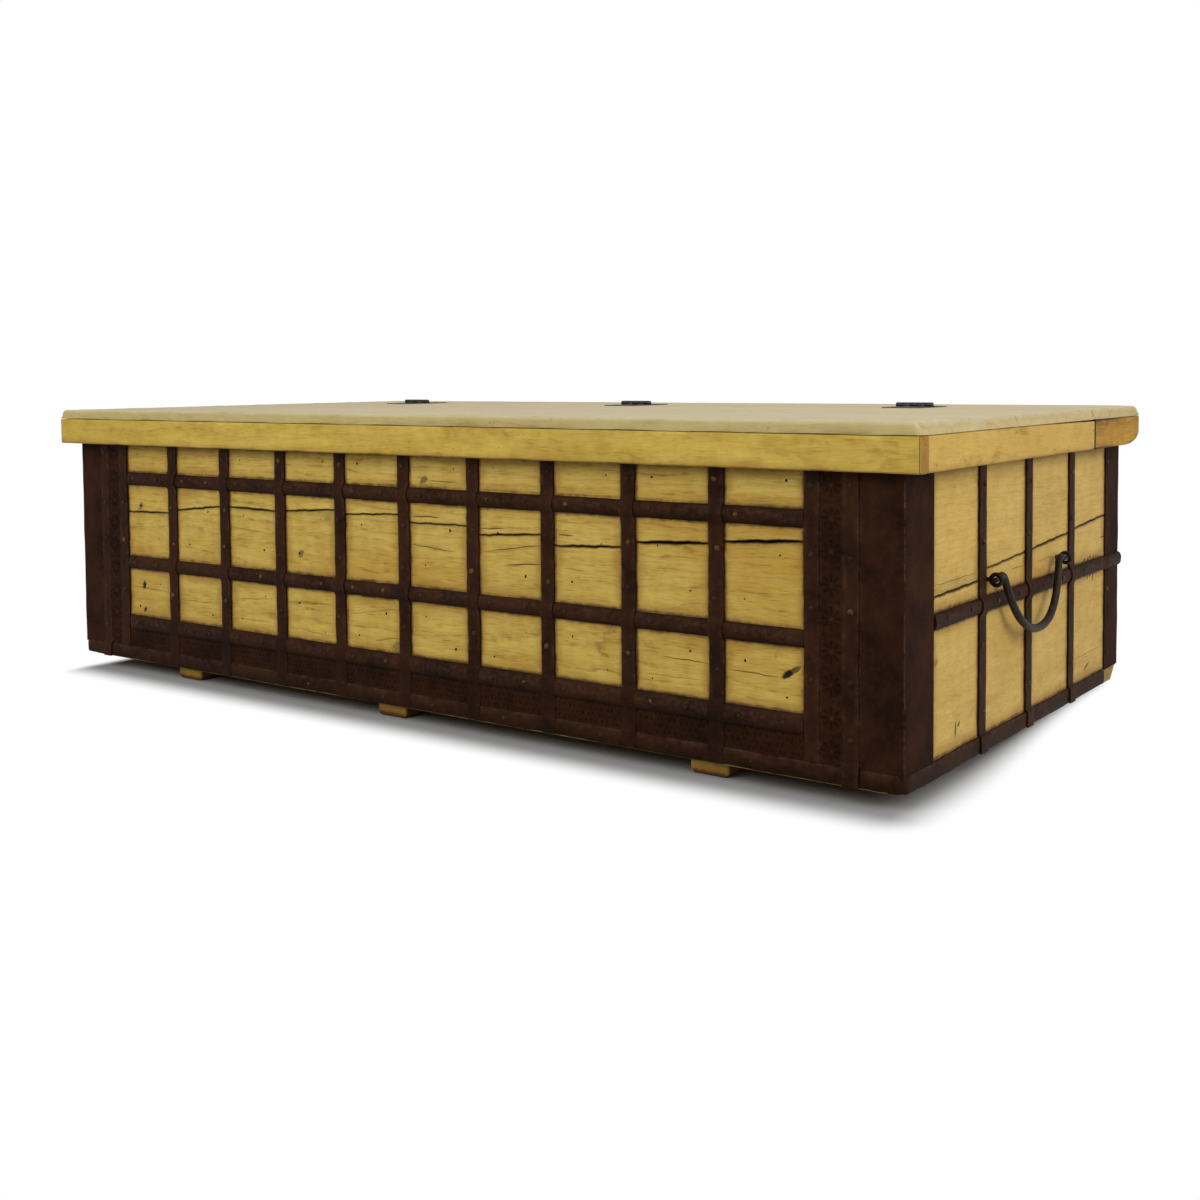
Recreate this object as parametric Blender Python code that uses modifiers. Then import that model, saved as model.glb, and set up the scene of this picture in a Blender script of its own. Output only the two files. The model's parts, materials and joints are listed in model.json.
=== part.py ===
"""Low iron-bound wooden chest that serves as a coffee table, with a hinged top and bail handles.

Metres, +Z up. The origin is on the floor under the middle of the top, +X runs along the
length towards the right end and +Y runs from the front to the back.
"""

import math

import bmesh
import bpy
from mathutils import Matrix, Vector
from mathutils.geometry import interpolate_bezier

# The top: its outline and how far it stands out over the body
LID_LENGTH = 1.500
LID_DEPTH = 0.769
LID_END_OVERHANG = 0.028
LID_FRONT_OVERHANG = 0.022
LID_BACK_OVERHANG = 0.009
TOP_THICKNESS = 0.0148
RAIL_HEIGHT = 0.0396
RAIL_THICKNESS = 0.0185
FIXED_TOP_DEPTH = 0.2035
HINGE_SEAM = 0.0012
TOP_EDGE_ROUND = 0.0025
RAIL_TOE_LENGTH = 0.060
RAIL_TOE_RISE = 0.018

# The body: boards, floor and runners
BODY_HEIGHT = 0.3443
WALL_THICKNESS = 0.020
FLOOR_THICKNESS = 0.018
RUNNER_HEIGHT = 0.0186
RUNNER_WIDTH = 0.052
RUNNER_SETBACK = 0.010
OUTER_RUNNER_SHARE = 0.328
MIDDLE_RUNNER_SHARE = -0.027
BOARD_EDGE_ROUND = 0.0012

# Where the wall boards part: a wavy split in front, a rising one on the ends, a level one behind
SPLIT_GAP = 0.0014
FRONT_SPLIT_HEIGHT = 0.2713
FRONT_SPLIT_WAVE = 0.0113
FRONT_SPLIT_PERIOD = 0.825
FRONT_SPLIT_CREST = -0.155
END_SPLIT_HEIGHT = 0.2499
END_SPLIT_RISE = 0.040
BACK_SPLIT_HEIGHT = 0.226

# Pieces inside the top
BATTEN_WIDTH = 0.060
BATTEN_THICKNESS = 0.020
BATTEN_SHARE = 0.267
BATTEN_INSET = 0.030
HINGE_RAIL_WIDTH = 0.045
HINGE_RAIL_HEIGHT = 0.035

# Ironwork
SEAT = 0.0003
WELD = 0.0003
PLATE_THICKNESS = 0.0015
STRAP_THICKNESS = 0.0022
STRAP_WIDTH = 0.0206
STRAP_TUCK = 0.010
FRONT_STRAP_COUNT = 9
END_STRAP_SHARES = (-0.2087, 0.0, 0.2209)
BAND_HEIGHT = 0.0050
FRONT_BAND_WIDTH = 0.0203
FRONT_UPPER_BAND_LEVEL = 0.3088
FRONT_LOWER_BAND_LEVEL = 0.1759
BASE_BAND_LEVEL = 0.0797
BASE_BAND_WIDTH = 0.0242
BASE_BAND_HEIGHT = 0.0055
END_BAND_LEVEL = 0.1945
END_BAND_WIDTH = 0.0186
END_BAND_WRAP = 0.045
EDGE_BAND_LIFT = 0.002
EDGE_BAND_HEIGHT = 0.0160
EDGE_BAND_THICKNESS = 0.0030
EDGE_BAND_REAR_GAP = 0.065
FRONT_PLATE_LEG = 0.0505
END_PLATE_LEG = 0.0735
REAR_PLATE_LEG = 0.059
REAR_PLATE_LIFT = 0.0205
TRIM_STRAP_WIDTH = 0.0196
TRIM_STRIP_WIDTH = 0.0279
TRIM_STRAP_THICKNESS = 0.0030

# Butt hinges let into the top
HINGE_SHARES = {"left": -0.326, "middle": 0.002, "right": 0.328}
HINGE_LENGTH = 0.056
HINGE_LEAF = 0.050
HINGE_LEAF_THICKNESS = 0.0020
KNUCKLE_RADIUS = 0.0035
KNUCKLE_COUNT = 5
KNUCKLE_CLEARANCE = 0.0003
HINGE_PIN_RADIUS = 0.0016

# Bail handles and the eyes that carry them
FRONT_EYE_CLEARANCE = 0.0045
REAR_EYE_CLEARANCE = 0.0475
EYE_LEVEL = 0.2235
EYE_STAND_OFF = 0.0125
EYE_WIRE_RADIUS = 0.0026
EYE_CLEARANCE = 0.0008
EYE_SHANK_RADIUS = 0.0030
EYE_RIVET_RADIUS = 0.0070
EYE_RIVET_THICKNESS = 0.0020
PIVOT_RADIUS = 0.0031
PIVOT_TAIL = 0.0085
PIVOT_LEAD = 0.0040
CROOK_REACH = 0.0172
CROOK_RISE = 0.0035
CROOK_RADIUS = 0.0100
CROOK_ROD_RADIUS = 0.0043
CROOK_LEG_TURN = math.radians(68.0)
BAIL_RADIUS = 0.0049
BAIL_DROP = 0.0735
BAIL_LEAN = math.radians(6.5)
BAIL_LEG_SHARE = 0.184
BAIL_BOTTOM_SHARE = 0.2046

# How finely round shapes are divided
BAND_STEPS = 8
ROUND_SIDES = 16
RING_SIDES = 24
WIRE_SIDES = 8
BEND_STEPS = 4
TOE_STEPS = 8
WAVE_STEPS = 28
RAMP_STEPS = 4
CROOK_STEPS = 5
LEG_STEPS = 9
WELD_DISTANCE = 1e-6

# Places that follow from the sizes above. A share is a part of the body's or the top's length,
# of the body's depth or of the span between a handle's eyes
BODY_END = LID_LENGTH / 2 - LID_END_OVERHANG
BODY_FRONT = -LID_DEPTH / 2 + LID_FRONT_OVERHANG
BODY_BACK = LID_DEPTH / 2 - LID_BACK_OVERHANG
BODY_MIDDLE = (BODY_FRONT + BODY_BACK) / 2
BODY_LENGTH = 2 * BODY_END
BODY_DEPTH = BODY_BACK - BODY_FRONT
RUNNER_PLACES = {
    "left": -OUTER_RUNNER_SHARE * BODY_LENGTH,
    "middle": MIDDLE_RUNNER_SHARE * BODY_LENGTH,
    "right": OUTER_RUNNER_SHARE * BODY_LENGTH,
}
HINGE_PLACES = {name: share * LID_LENGTH for name, share in HINGE_SHARES.items()}
BATTEN_PLACE = BATTEN_SHARE * LID_LENGTH
END_STRAP_PLACES = [BODY_MIDDLE + share * BODY_DEPTH for share in END_STRAP_SHARES]
RAIL_BOTTOM = RUNNER_HEIGHT + BODY_HEIGHT
BOARD_BOTTOM = RAIL_BOTTOM + RAIL_HEIGHT
TOP = BOARD_BOTTOM + TOP_THICKNESS
WALL_BOTTOM = RUNNER_HEIGHT + FLOOR_THICKNESS + SEAT
WALL_TOP = BOARD_BOTTOM - SEAT
SEAM = LID_DEPTH / 2 - FIXED_TOP_DEPTH
PIN_LEVEL = TOP + KNUCKLE_RADIUS + KNUCKLE_CLEARANCE
EDGE_BAND_LOW = RUNNER_HEIGHT + EDGE_BAND_LIFT
EDGE_BAND_TOP = EDGE_BAND_LOW + EDGE_BAND_HEIGHT
TRIM_WIDTH = 2 * TRIM_STRAP_WIDTH + TRIM_STRIP_WIDTH
TRIM_OUTER = BODY_END - FRONT_PLATE_LEG
TRIM_INNER = TRIM_OUTER - TRIM_WIDTH
STRAP_PITCH = (2 * TRIM_INNER + STRAP_WIDTH) / (FRONT_STRAP_COUNT + 1)
FRONT_EYE_PLACE = END_STRAP_PLACES[0] + STRAP_WIDTH / 2 + FRONT_EYE_CLEARANCE
REAR_EYE_PLACE = END_STRAP_PLACES[-1] - STRAP_WIDTH / 2 - REAR_EYE_CLEARANCE
EYE_PLACES = {"front": FRONT_EYE_PLACE, "rear": REAR_EYE_PLACE}
EYE_SPAN = REAR_EYE_PLACE - FRONT_EYE_PLACE
HANDLE_MIDDLE = (FRONT_EYE_PLACE + REAR_EYE_PLACE) / 2
EYE_INNER_RADIUS = PIVOT_RADIUS + EYE_CLEARANCE
EYE_RADIUS = EYE_INNER_RADIUS + EYE_WIRE_RADIUS
SIDES = {"left": -1, "right": 1}


def finish(name, colour, roughness, metallic):
    """A plain material with one colour."""
    material = bpy.data.materials.new(name)
    material.use_nodes = True
    shader = material.node_tree.nodes["Principled BSDF"]
    shader.inputs["Base Color"].default_value = (*colour, 1.0)
    shader.inputs["Roughness"].default_value = roughness
    shader.inputs["Metallic"].default_value = metallic
    return material


def collection(name):
    """A new collection in the scene."""
    group = bpy.data.collections.new(name)
    bpy.context.scene.collection.children.link(group)
    return group


class Workshop:
    """Holds the collections and finishes, and turns shapes into named objects."""

    def __init__(self):
        self.pieces = collection("chest_coffee_table")
        self.tools = collection("chest_cutters")
        self.honey_wood = finish("honey_wood", (0.56, 0.39, 0.10), 0.55, 0.0)
        self.pale_wood = finish("pale_wood", (0.60, 0.49, 0.28), 0.60, 0.0)
        self.iron = finish("rusty_iron", (0.042, 0.019, 0.015), 0.62, 0.6)
        self.steel = finish("dark_steel", (0.030, 0.027, 0.025), 0.45, 0.9)

    def piece(self, name, mesh, material, place=(0.0, 0.0, 0.0)):
        """Adds a visible part with its mesh, finish and place."""
        mesh.materials.append(material)
        obj = bpy.data.objects.new(name, mesh)
        obj.location = place
        self.pieces.objects.link(obj)
        return obj

    def tool(self, name, mesh, place=(0.0, 0.0, 0.0)):
        """Adds a hidden shape that a Boolean joins to a part or cuts from it."""
        obj = bpy.data.objects.new(name, mesh)
        obj.location = place
        obj.hide_render = True
        obj.display_type = "WIRE"
        self.tools.objects.link(obj)
        return obj


def boolean(obj, other, operation):
    """Joins other to obj, or cuts it out."""
    modifier = obj.modifiers.new(f"{operation.lower()} {other.name}", "BOOLEAN")
    modifier.operation = operation
    modifier.solver = "EXACT"
    modifier.object = other


def rounded(obj, width):
    """Rounds the sharp edges of a part."""
    bevel = obj.modifiers.new("rounded edges", "BEVEL")
    bevel.width = width
    bevel.segments = 2
    bevel.limit_method = "ANGLE"
    bevel.angle_limit = math.radians(40.0)


def mesh_from(name, shape):
    """Writes a bmesh to a new mesh and frees it."""
    mesh = bpy.data.meshes.new(name)
    shape.to_mesh(mesh)
    shape.free()
    return mesh


def smooth(mesh):
    """Shades a round shape smooth, with its corners kept sharp."""
    mesh.shade_smooth()
    mesh.set_sharp_from_angle(angle=math.radians(35.0))
    return mesh


def block(name, size):
    """A box of this size about its own middle."""
    shape = bmesh.new()
    bmesh.ops.create_cube(shape, size=1.0)
    bmesh.ops.scale(shape, vec=size, verts=shape.verts)
    return mesh_from(name, shape)


def span_block(name, low, high):
    """The mesh and place of a box between two corners."""
    low, high = Vector(low), Vector(high)
    return block(name, high - low), (low + high) / 2


def rod(name, radius, length):
    """A cylinder along X, about its own middle."""
    shape = bmesh.new()
    bmesh.ops.create_cone(
        shape, cap_ends=True, segments=ROUND_SIDES, radius1=radius, radius2=radius, depth=length
    )
    lying = Matrix.Rotation(math.pi / 2, 3, "Y")
    bmesh.ops.rotate(shape, cent=(0, 0, 0), matrix=lying, verts=shape.verts)
    return smooth(mesh_from(name, shape))


def curve_mesh(name, curve):
    """The welded mesh of a curve, facing outwards. The curve itself is removed."""
    helper = bpy.data.objects.new(name, curve)
    bpy.context.scene.collection.objects.link(helper)
    bpy.context.view_layer.update()
    evaluated = helper.evaluated_get(bpy.context.evaluated_depsgraph_get())
    mesh = bpy.data.meshes.new_from_object(evaluated)
    bpy.data.objects.remove(helper)
    bpy.data.curves.remove(curve)
    shape = bmesh.new()
    shape.from_mesh(mesh)
    bpy.data.meshes.remove(mesh)
    bmesh.ops.remove_doubles(shape, verts=shape.verts, dist=WELD_DISTANCE)
    bmesh.ops.recalc_face_normals(shape, faces=shape.faces)
    return mesh_from(name, shape)


def poly_spline(curve, points, closed):
    """Adds a straight-sided spline through the points."""
    spline = curve.splines.new("POLY")
    spline.points.add(len(points) - 1)
    for target, point in zip(spline.points, points):
        target.co = (*point, 1.0) if len(point) == 3 else (*point, 0.0, 1.0)
    spline.use_cyclic_u = closed
    return spline


def outline_mesh(name, outline, axis, low, high):
    """A flat outline drawn square to an axis and given depth along it.

    The outline holds (y, z) for X, (x, z) for Y and (x, y) for Z.
    """
    curve = bpy.data.curves.new(name, "CURVE")
    curve.dimensions = "2D"
    curve.fill_mode = "BOTH"
    curve.extrude = (high - low) / 2
    drawn = [(b, a) for a, b in outline] if axis == "Y" else outline
    poly_spline(curve, drawn, True)
    mesh = curve_mesh(name, curve)
    order = {"X": ((0, 0, 1), (1, 0, 0), (0, 1, 0)), "Y": ((0, 1, 0), (0, 0, 1), (1, 0, 0))}
    if axis in order:
        mesh.transform(Matrix(order[axis]).to_4x4())
    shift = {"X": Vector((1, 0, 0)), "Y": Vector((0, 1, 0)), "Z": Vector((0, 0, 1))}[axis]
    mesh.transform(Matrix.Translation(shift * (low + high) / 2))
    return mesh


def centred(mesh):
    """Moves a mesh to its own middle, and gives that middle as its place."""
    corners = [vertex.co for vertex in mesh.vertices]
    low = Vector(min(corner[i] for corner in corners) for i in range(3))
    high = Vector(max(corner[i] for corner in corners) for i in range(3))
    middle = (low + high) / 2
    mesh.transform(Matrix.Translation(-middle))
    return mesh, middle


def outline_piece(shop, name, outline, axis, low, high, material):
    """A part made from a flat outline, with its origin in its middle."""
    mesh, place = centred(outline_mesh(name, outline, axis, low, high))
    return shop.piece(name, mesh, material, place)


def box_piece(shop, name, low, high, material, edge=0.0):
    """A board or bar between two corners, with its edges eased."""
    mesh, place = span_block(name, low, high)
    obj = shop.piece(name, mesh, material, place)
    if edge:
        rounded(obj, edge)
    return obj


def carry(parent, parts):
    """Parents parts to an empty without moving them."""
    for part in parts:
        part.parent = parent
        part.matrix_parent_inverse = parent.matrix_world.inverted()


def axis_empty(shop, name, place):
    """An empty on a joint's axis."""
    empty = bpy.data.objects.new(name, None)
    empty.location = place
    empty.empty_display_size = 0.05
    shop.pieces.objects.link(empty)
    bpy.context.view_layer.update()
    return empty


def front_split(x):
    """Height of the split between the two front boards."""
    return FRONT_SPLIT_HEIGHT + FRONT_SPLIT_WAVE * math.cos(
        2 * math.pi * (x - FRONT_SPLIT_CREST) / FRONT_SPLIT_PERIOD
    )


def end_split(y):
    """Height of the split between the two boards of an end."""
    return END_SPLIT_HEIGHT + END_SPLIT_RISE * (y - BODY_MIDDLE)


def back_split(_):
    """Height of the joint between the two back boards."""
    return BACK_SPLIT_HEIGHT


def board_pair(low, high, split, steps):
    """Outlines of the upper and lower wall board, which meet along a split."""
    along = [low + (high - low) * i / steps for i in range(steps + 1)]
    upper = [(a, split(a) + SPLIT_GAP / 2) for a in along]
    upper += [(high, WALL_TOP), (low, WALL_TOP)]
    lower = [(a, split(a) - SPLIT_GAP / 2) for a in along]
    lower += [(high, WALL_BOTTOM), (low, WALL_BOTTOM)]
    return {"upper": upper, "lower": lower}


def build_walls(shop):
    """The four walls, each an upper and a lower board."""
    for level, outline in board_pair(-BODY_END, BODY_END, front_split, WAVE_STEPS).items():
        outline_piece(
            shop, f"front_{level}_board", outline, "Y",
            BODY_FRONT, BODY_FRONT + WALL_THICKNESS, shop.honey_wood,
        )
    for level, outline in board_pair(-BODY_END, BODY_END, back_split, 1).items():
        outline_piece(
            shop, f"back_{level}_board", outline, "Y",
            BODY_BACK - WALL_THICKNESS, BODY_BACK, shop.honey_wood,
        )
    end_low = BODY_FRONT + WALL_THICKNESS + SEAT
    end_high = BODY_BACK - WALL_THICKNESS - SEAT
    for side, sign in SIDES.items():
        inner, outer = sorted((sign * (BODY_END - WALL_THICKNESS), sign * BODY_END))
        for level, outline in board_pair(end_low, end_high, end_split, 1).items():
            board = outline_piece(
                shop, f"{side}_end_{level}_board", outline, "X", inner, outer, shop.honey_wood
            )
            if level == "lower":
                drill_for_eyes(shop, board, side)


def drill_for_eyes(shop, board, side):
    """Holes through an end board for the shanks of its two handle eyes."""
    for eye, y in EYE_PLACES.items():
        drill = shop.tool(
            f"{side}_{eye}_eye_drill",
            rod("eye_drill", EYE_SHANK_RADIUS + SEAT, 3 * WALL_THICKNESS),
            (SIDES[side] * (BODY_END - WALL_THICKNESS / 2), y, EYE_LEVEL),
        )
        boolean(board, drill, "DIFFERENCE")


def build_floor(shop):
    """Three floor boards under the walls, and the runners that they stand on."""
    names = ("front", "middle", "back")
    width = (BODY_DEPTH - (len(names) - 1) * SEAT) / len(names)
    for i, name in enumerate(names):
        y = BODY_FRONT + i * (width + SEAT)
        box_piece(
            shop, f"floor_{name}_board",
            (-BODY_END, y, RUNNER_HEIGHT),
            (BODY_END, y + width, RUNNER_HEIGHT + FLOOR_THICKNESS),
            shop.honey_wood,
        )
    for name, x in RUNNER_PLACES.items():
        box_piece(
            shop, f"{name}_runner",
            (x - RUNNER_WIDTH / 2, BODY_FRONT + RUNNER_SETBACK, 0.0),
            (x + RUNNER_WIDTH / 2, BODY_BACK - RUNNER_SETBACK, RUNNER_HEIGHT - SEAT),
            shop.honey_wood, BOARD_EDGE_ROUND,
        )


def let_in_hinge(shop, board, sign):
    """Recesses for the hinge leaves along one edge of a top board."""
    edge = SEAM + sign * HINGE_SEAM / 2
    far = edge + sign * (HINGE_LEAF + SEAT)
    for name, x in HINGE_PLACES.items():
        half = HINGE_LENGTH / 2 + SEAT
        y_low, y_high = sorted((SEAM, far))
        mesh, place = span_block(
            "leaf_recess",
            (x - half, y_low, TOP - HINGE_LEAF_THICKNESS - SEAT),
            (x + half, y_high, TOP + HINGE_LEAF_THICKNESS),
        )
        boolean(board, shop.tool(f"{board.name}_{name}_recess", mesh, place), "DIFFERENCE")


def build_fixed_top(shop):
    """The fixed rear strip of the top, its end rails and the rail that carries the hinges."""
    half = LID_LENGTH / 2
    board = box_piece(
        shop, "fixed_top_board",
        (-half, SEAM + HINGE_SEAM / 2, BOARD_BOTTOM), (half, LID_DEPTH / 2, TOP),
        shop.pale_wood, TOP_EDGE_ROUND,
    )
    let_in_hinge(shop, board, 1)
    back = LID_DEPTH / 2
    toe = []
    for i in range(TOE_STEPS + 1):
        turn = i * math.pi / 2 / TOE_STEPS
        toe.append(
            (
                back - RAIL_TOE_LENGTH * (1 - math.sin(turn)),
                RAIL_BOTTOM + RAIL_TOE_RISE * (1 - math.cos(turn)),
            )
        )
    front = SEAM + HINGE_SEAM / 2
    outline = [(front, RAIL_BOTTOM), *toe, (back, BOARD_BOTTOM - SEAT), (front, BOARD_BOTTOM - SEAT)]
    for side, sign in SIDES.items():
        low, high = sorted((sign * (half - RAIL_THICKNESS), sign * half))
        outline_piece(shop, f"fixed_top_{side}_rail", outline, "X", low, high, shop.honey_wood)
    inner_end = BODY_END - WALL_THICKNESS - SEAT
    box_piece(
        shop, "hinge_rail",
        (-inner_end, front, WALL_TOP - HINGE_RAIL_HEIGHT),
        (inner_end, front + HINGE_RAIL_WIDTH, WALL_TOP),
        shop.honey_wood, BOARD_EDGE_ROUND,
    )


def build_lid(shop):
    """The hinged part of the top: two boards, three rails and two battens underneath."""
    half = LID_LENGTH / 2
    front = -LID_DEPTH / 2
    rear = SEAM - HINGE_SEAM / 2
    middle = (front + rear) / 2
    parts = [
        box_piece(
            shop, "lid_front_board",
            (-half, front, BOARD_BOTTOM), (half, middle - SEAT / 2, TOP),
            shop.pale_wood, TOP_EDGE_ROUND,
        )
    ]
    rear_board = box_piece(
        shop, "lid_rear_board",
        (-half, middle + SEAT / 2, BOARD_BOTTOM), (half, rear, TOP),
        shop.pale_wood, TOP_EDGE_ROUND,
    )
    let_in_hinge(shop, rear_board, -1)
    parts.append(rear_board)
    rail_top = BOARD_BOTTOM - SEAT
    parts.append(
        box_piece(
            shop, "lid_front_rail",
            (-half, front, RAIL_BOTTOM), (half, front + RAIL_THICKNESS, rail_top),
            shop.honey_wood, TOP_EDGE_ROUND,
        )
    )
    for side, sign in SIDES.items():
        low, high = sorted((sign * (half - RAIL_THICKNESS), sign * half))
        parts.append(
            box_piece(
                shop, f"lid_{side}_rail",
                (low, front + RAIL_THICKNESS + SEAT, RAIL_BOTTOM), (high, rear, rail_top),
                shop.honey_wood, BOARD_EDGE_ROUND,
            )
        )
        x = sign * BATTEN_PLACE
        parts.append(
            box_piece(
                shop, f"lid_{side}_batten",
                (x - BATTEN_WIDTH / 2, BODY_FRONT + WALL_THICKNESS + BATTEN_INSET,
                 rail_top - BATTEN_THICKNESS),
                (x + BATTEN_WIDTH / 2, rear - BATTEN_INSET, rail_top),
                shop.honey_wood, BOARD_EDGE_ROUND,
            )
        )
    return parts


def hinge_leaf(shop, name, x, sign, knuckles):
    """A hinge leaf with its own knuckles. Sign is 1 behind the seam and -1 on the lid."""
    edge = sign * HINGE_SEAM / 2
    far = edge + sign * HINGE_LEAF
    bottom = TOP - HINGE_LEAF_THICKNESS - PIN_LEVEL
    half = HINGE_LENGTH / 2
    y_low, y_high = sorted((edge, far))
    mesh, middle = span_block(name, (-half, y_low, bottom), (half, y_high, TOP - PIN_LEVEL))
    mesh.transform(Matrix.Translation(middle))
    leaf = shop.piece(name, mesh, shop.steel, (x, SEAM, PIN_LEVEL))
    pitch = HINGE_LENGTH / KNUCKLE_COUNT
    length = pitch - KNUCKLE_CLEARANCE
    neck_low, neck_high = sorted((edge, sign * KNUCKLE_RADIUS))
    for i in knuckles:
        along = (i + 0.5) * pitch - half
        neck, neck_middle = span_block(
            "neck",
            (along - length / 2, neck_low, bottom + HINGE_LEAF_THICKNESS / 2),
            (along + length / 2, neck_high, 0.0),
        )
        place = Vector((x, SEAM, PIN_LEVEL))
        boolean(leaf, shop.tool(f"{name}_neck_{i}", neck, place + neck_middle), "UNION")
        barrel = rod("barrel", KNUCKLE_RADIUS, length)
        boolean(
            leaf, shop.tool(f"{name}_knuckle_{i}", barrel, place + Vector((along, 0, 0))), "UNION"
        )
    return leaf


def build_hinges(shop):
    """Three butt hinges. Each pin is fast in the knuckles of the fixed leaf."""
    lid_leaves = []
    fixed_knuckles = range(0, KNUCKLE_COUNT, 2)
    lid_knuckles = range(1, KNUCKLE_COUNT, 2)
    pin_length = HINGE_LENGTH - KNUCKLE_CLEARANCE
    for name, x in HINGE_PLACES.items():
        place = (x, SEAM, PIN_LEVEL)
        fixed = hinge_leaf(shop, f"{name}_hinge_fixed_leaf", x, 1, fixed_knuckles)
        pin = rod("pin", HINGE_PIN_RADIUS, pin_length - 2 * WELD)
        boolean(fixed, shop.tool(f"{name}_hinge_pin", pin, place), "UNION")
        lid_leaf = hinge_leaf(shop, f"{name}_hinge_lid_leaf", x, -1, lid_knuckles)
        bore = rod("bore", HINGE_PIN_RADIUS + KNUCKLE_CLEARANCE, 2 * HINGE_LENGTH)
        boolean(lid_leaf, shop.tool(f"{name}_hinge_bore", bore, place), "DIFFERENCE")
        lid_leaves.append(lid_leaf)
    return lid_leaves


def half_round(width, height):
    """Section (offset, height) of a half-round band: flat at the back, domed in front."""
    turns = [i * math.pi / BAND_STEPS for i in range(BAND_STEPS + 1)]
    return [(height * math.sin(turn), -width / 2 * math.cos(turn)) for turn in turns]


def bump(grow, level, width, height, low, high, clearance):
    """One face of a strap where it rises over a half-round band.

    Grow is 0 on the inner face and the strap's thickness on the outer one. Low and high
    are the inner face's offsets just below and just above the band.
    """
    rise = height + clearance + grow
    reach = width / 2 + clearance + grow
    start = math.asin((low + grow - SEAT) / rise)
    stop = math.pi - math.asin((high + grow - SEAT) / rise)
    turns = [start + (stop - start) * i / BAND_STEPS for i in range(BAND_STEPS + 1)]
    return [(SEAT + rise * math.sin(t), level - reach * math.cos(t)) for t in turns]


def strap_outline(face):
    """Closes a strap's side outline from the function that gives one of its faces."""
    return face(0.0) + face(STRAP_THICKNESS)[::-1]


def front_strap_face(grow):
    """(offset, z) up one face of a front strap, from the bottom edge to behind the lid rail."""
    over_edge = EDGE_BAND_THICKNESS + 2 * SEAT
    over_strip = PLATE_THICKNESS + 2 * SEAT
    step_end = EDGE_BAND_TOP + SEAT + EDGE_BAND_THICKNESS
    points = [
        (over_edge + grow, EDGE_BAND_LOW),
        (over_edge + grow, EDGE_BAND_TOP + SEAT),
        (over_strip + grow, step_end),
    ]
    points += bump(
        grow, BASE_BAND_LEVEL, BASE_BAND_WIDTH, BASE_BAND_HEIGHT, over_strip, SEAT, SEAT
    )
    for level in (FRONT_LOWER_BAND_LEVEL, FRONT_UPPER_BAND_LEVEL):
        points += bump(grow, level, FRONT_BAND_WIDTH, BAND_HEIGHT, SEAT, SEAT, SEAT)
    points.append((SEAT + grow, RAIL_BOTTOM + STRAP_TUCK))
    return points


def end_strap_face(grow):
    """(offset, z) up one face of an end strap, which is welded to the band it crosses."""
    over_edge = EDGE_BAND_THICKNESS + 2 * SEAT
    lie = SEAT + WELD
    points = [
        (over_edge + grow, EDGE_BAND_LOW),
        (over_edge + grow, EDGE_BAND_TOP + SEAT),
        (lie + grow, EDGE_BAND_TOP + SEAT + EDGE_BAND_THICKNESS),
    ]
    points += bump(grow, END_BAND_LEVEL, END_BAND_WIDTH, BAND_HEIGHT, lie, lie, -WELD)
    points.append((lie + grow, RAIL_BOTTOM + STRAP_TUCK))
    return points


def build_front_ironwork(shop):
    """Nine straps over two half-round bands, the base band and the corner trims."""
    face = BODY_FRONT
    inner = TRIM_INNER - SEAT
    section = half_round(FRONT_BAND_WIDTH, BAND_HEIGHT)
    for name, level in (("lower", FRONT_LOWER_BAND_LEVEL), ("upper", FRONT_UPPER_BAND_LEVEL)):
        outline = [(face - SEAT - offset, level + z) for offset, z in section]
        outline_piece(shop, f"front_{name}_band", outline, "X", -inner, inner, shop.iron)
    base = [
        (face - SEAT - offset, BASE_BAND_LEVEL + z)
        for offset, z in half_round(BASE_BAND_WIDTH, BASE_BAND_HEIGHT)
        if z > 0 or offset > PLATE_THICKNESS
    ]
    strip_low = EDGE_BAND_TOP + SEAT
    strip_face = face - SEAT - PLATE_THICKNESS
    base = [(strip_face, strip_low), (strip_face, BASE_BAND_LEVEL - BASE_BAND_WIDTH / 2)] + base
    base.append((face - SEAT, strip_low))
    outline_piece(shop, "front_base_band", base, "X", -inner, inner, shop.iron)
    profile = strap_outline(front_strap_face)
    outline = [(face - offset, z) for offset, z in profile]
    first = -(FRONT_STRAP_COUNT - 1) / 2
    for i in range(FRONT_STRAP_COUNT):
        x = (first + i) * STRAP_PITCH
        outline_piece(
            shop, f"front_strap_{i + 1}", outline, "X",
            x - STRAP_WIDTH / 2, x + STRAP_WIDTH / 2, shop.iron,
        )


def build_corner_trims(shop):
    """On each side of the front, an embossed strip held between two straps, as one pressing."""
    thick = BODY_FRONT - SEAT - TRIM_STRAP_THICKNESS
    thin = BODY_FRONT - SEAT - PLATE_THICKNESS
    back = BODY_FRONT - SEAT
    strip_start = TRIM_INNER + TRIM_STRAP_WIDTH
    strip_end = TRIM_OUTER - SEAT - TRIM_STRAP_WIDTH
    outer = TRIM_OUTER - SEAT
    section = [
        (TRIM_INNER, back), (TRIM_INNER, thick), (strip_start, thick), (strip_start, thin),
        (strip_end, thin), (strip_end, thick), (outer, thick), (outer, back),
    ]
    for side, sign in SIDES.items():
        outline = [(sign * x, y) for x, y in section]
        outline_piece(
            shop, f"front_{side}_corner_trim", outline, "Z",
            EDGE_BAND_TOP + SEAT, RAIL_BOTTOM + STRAP_TUCK, shop.iron,
        )


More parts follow.
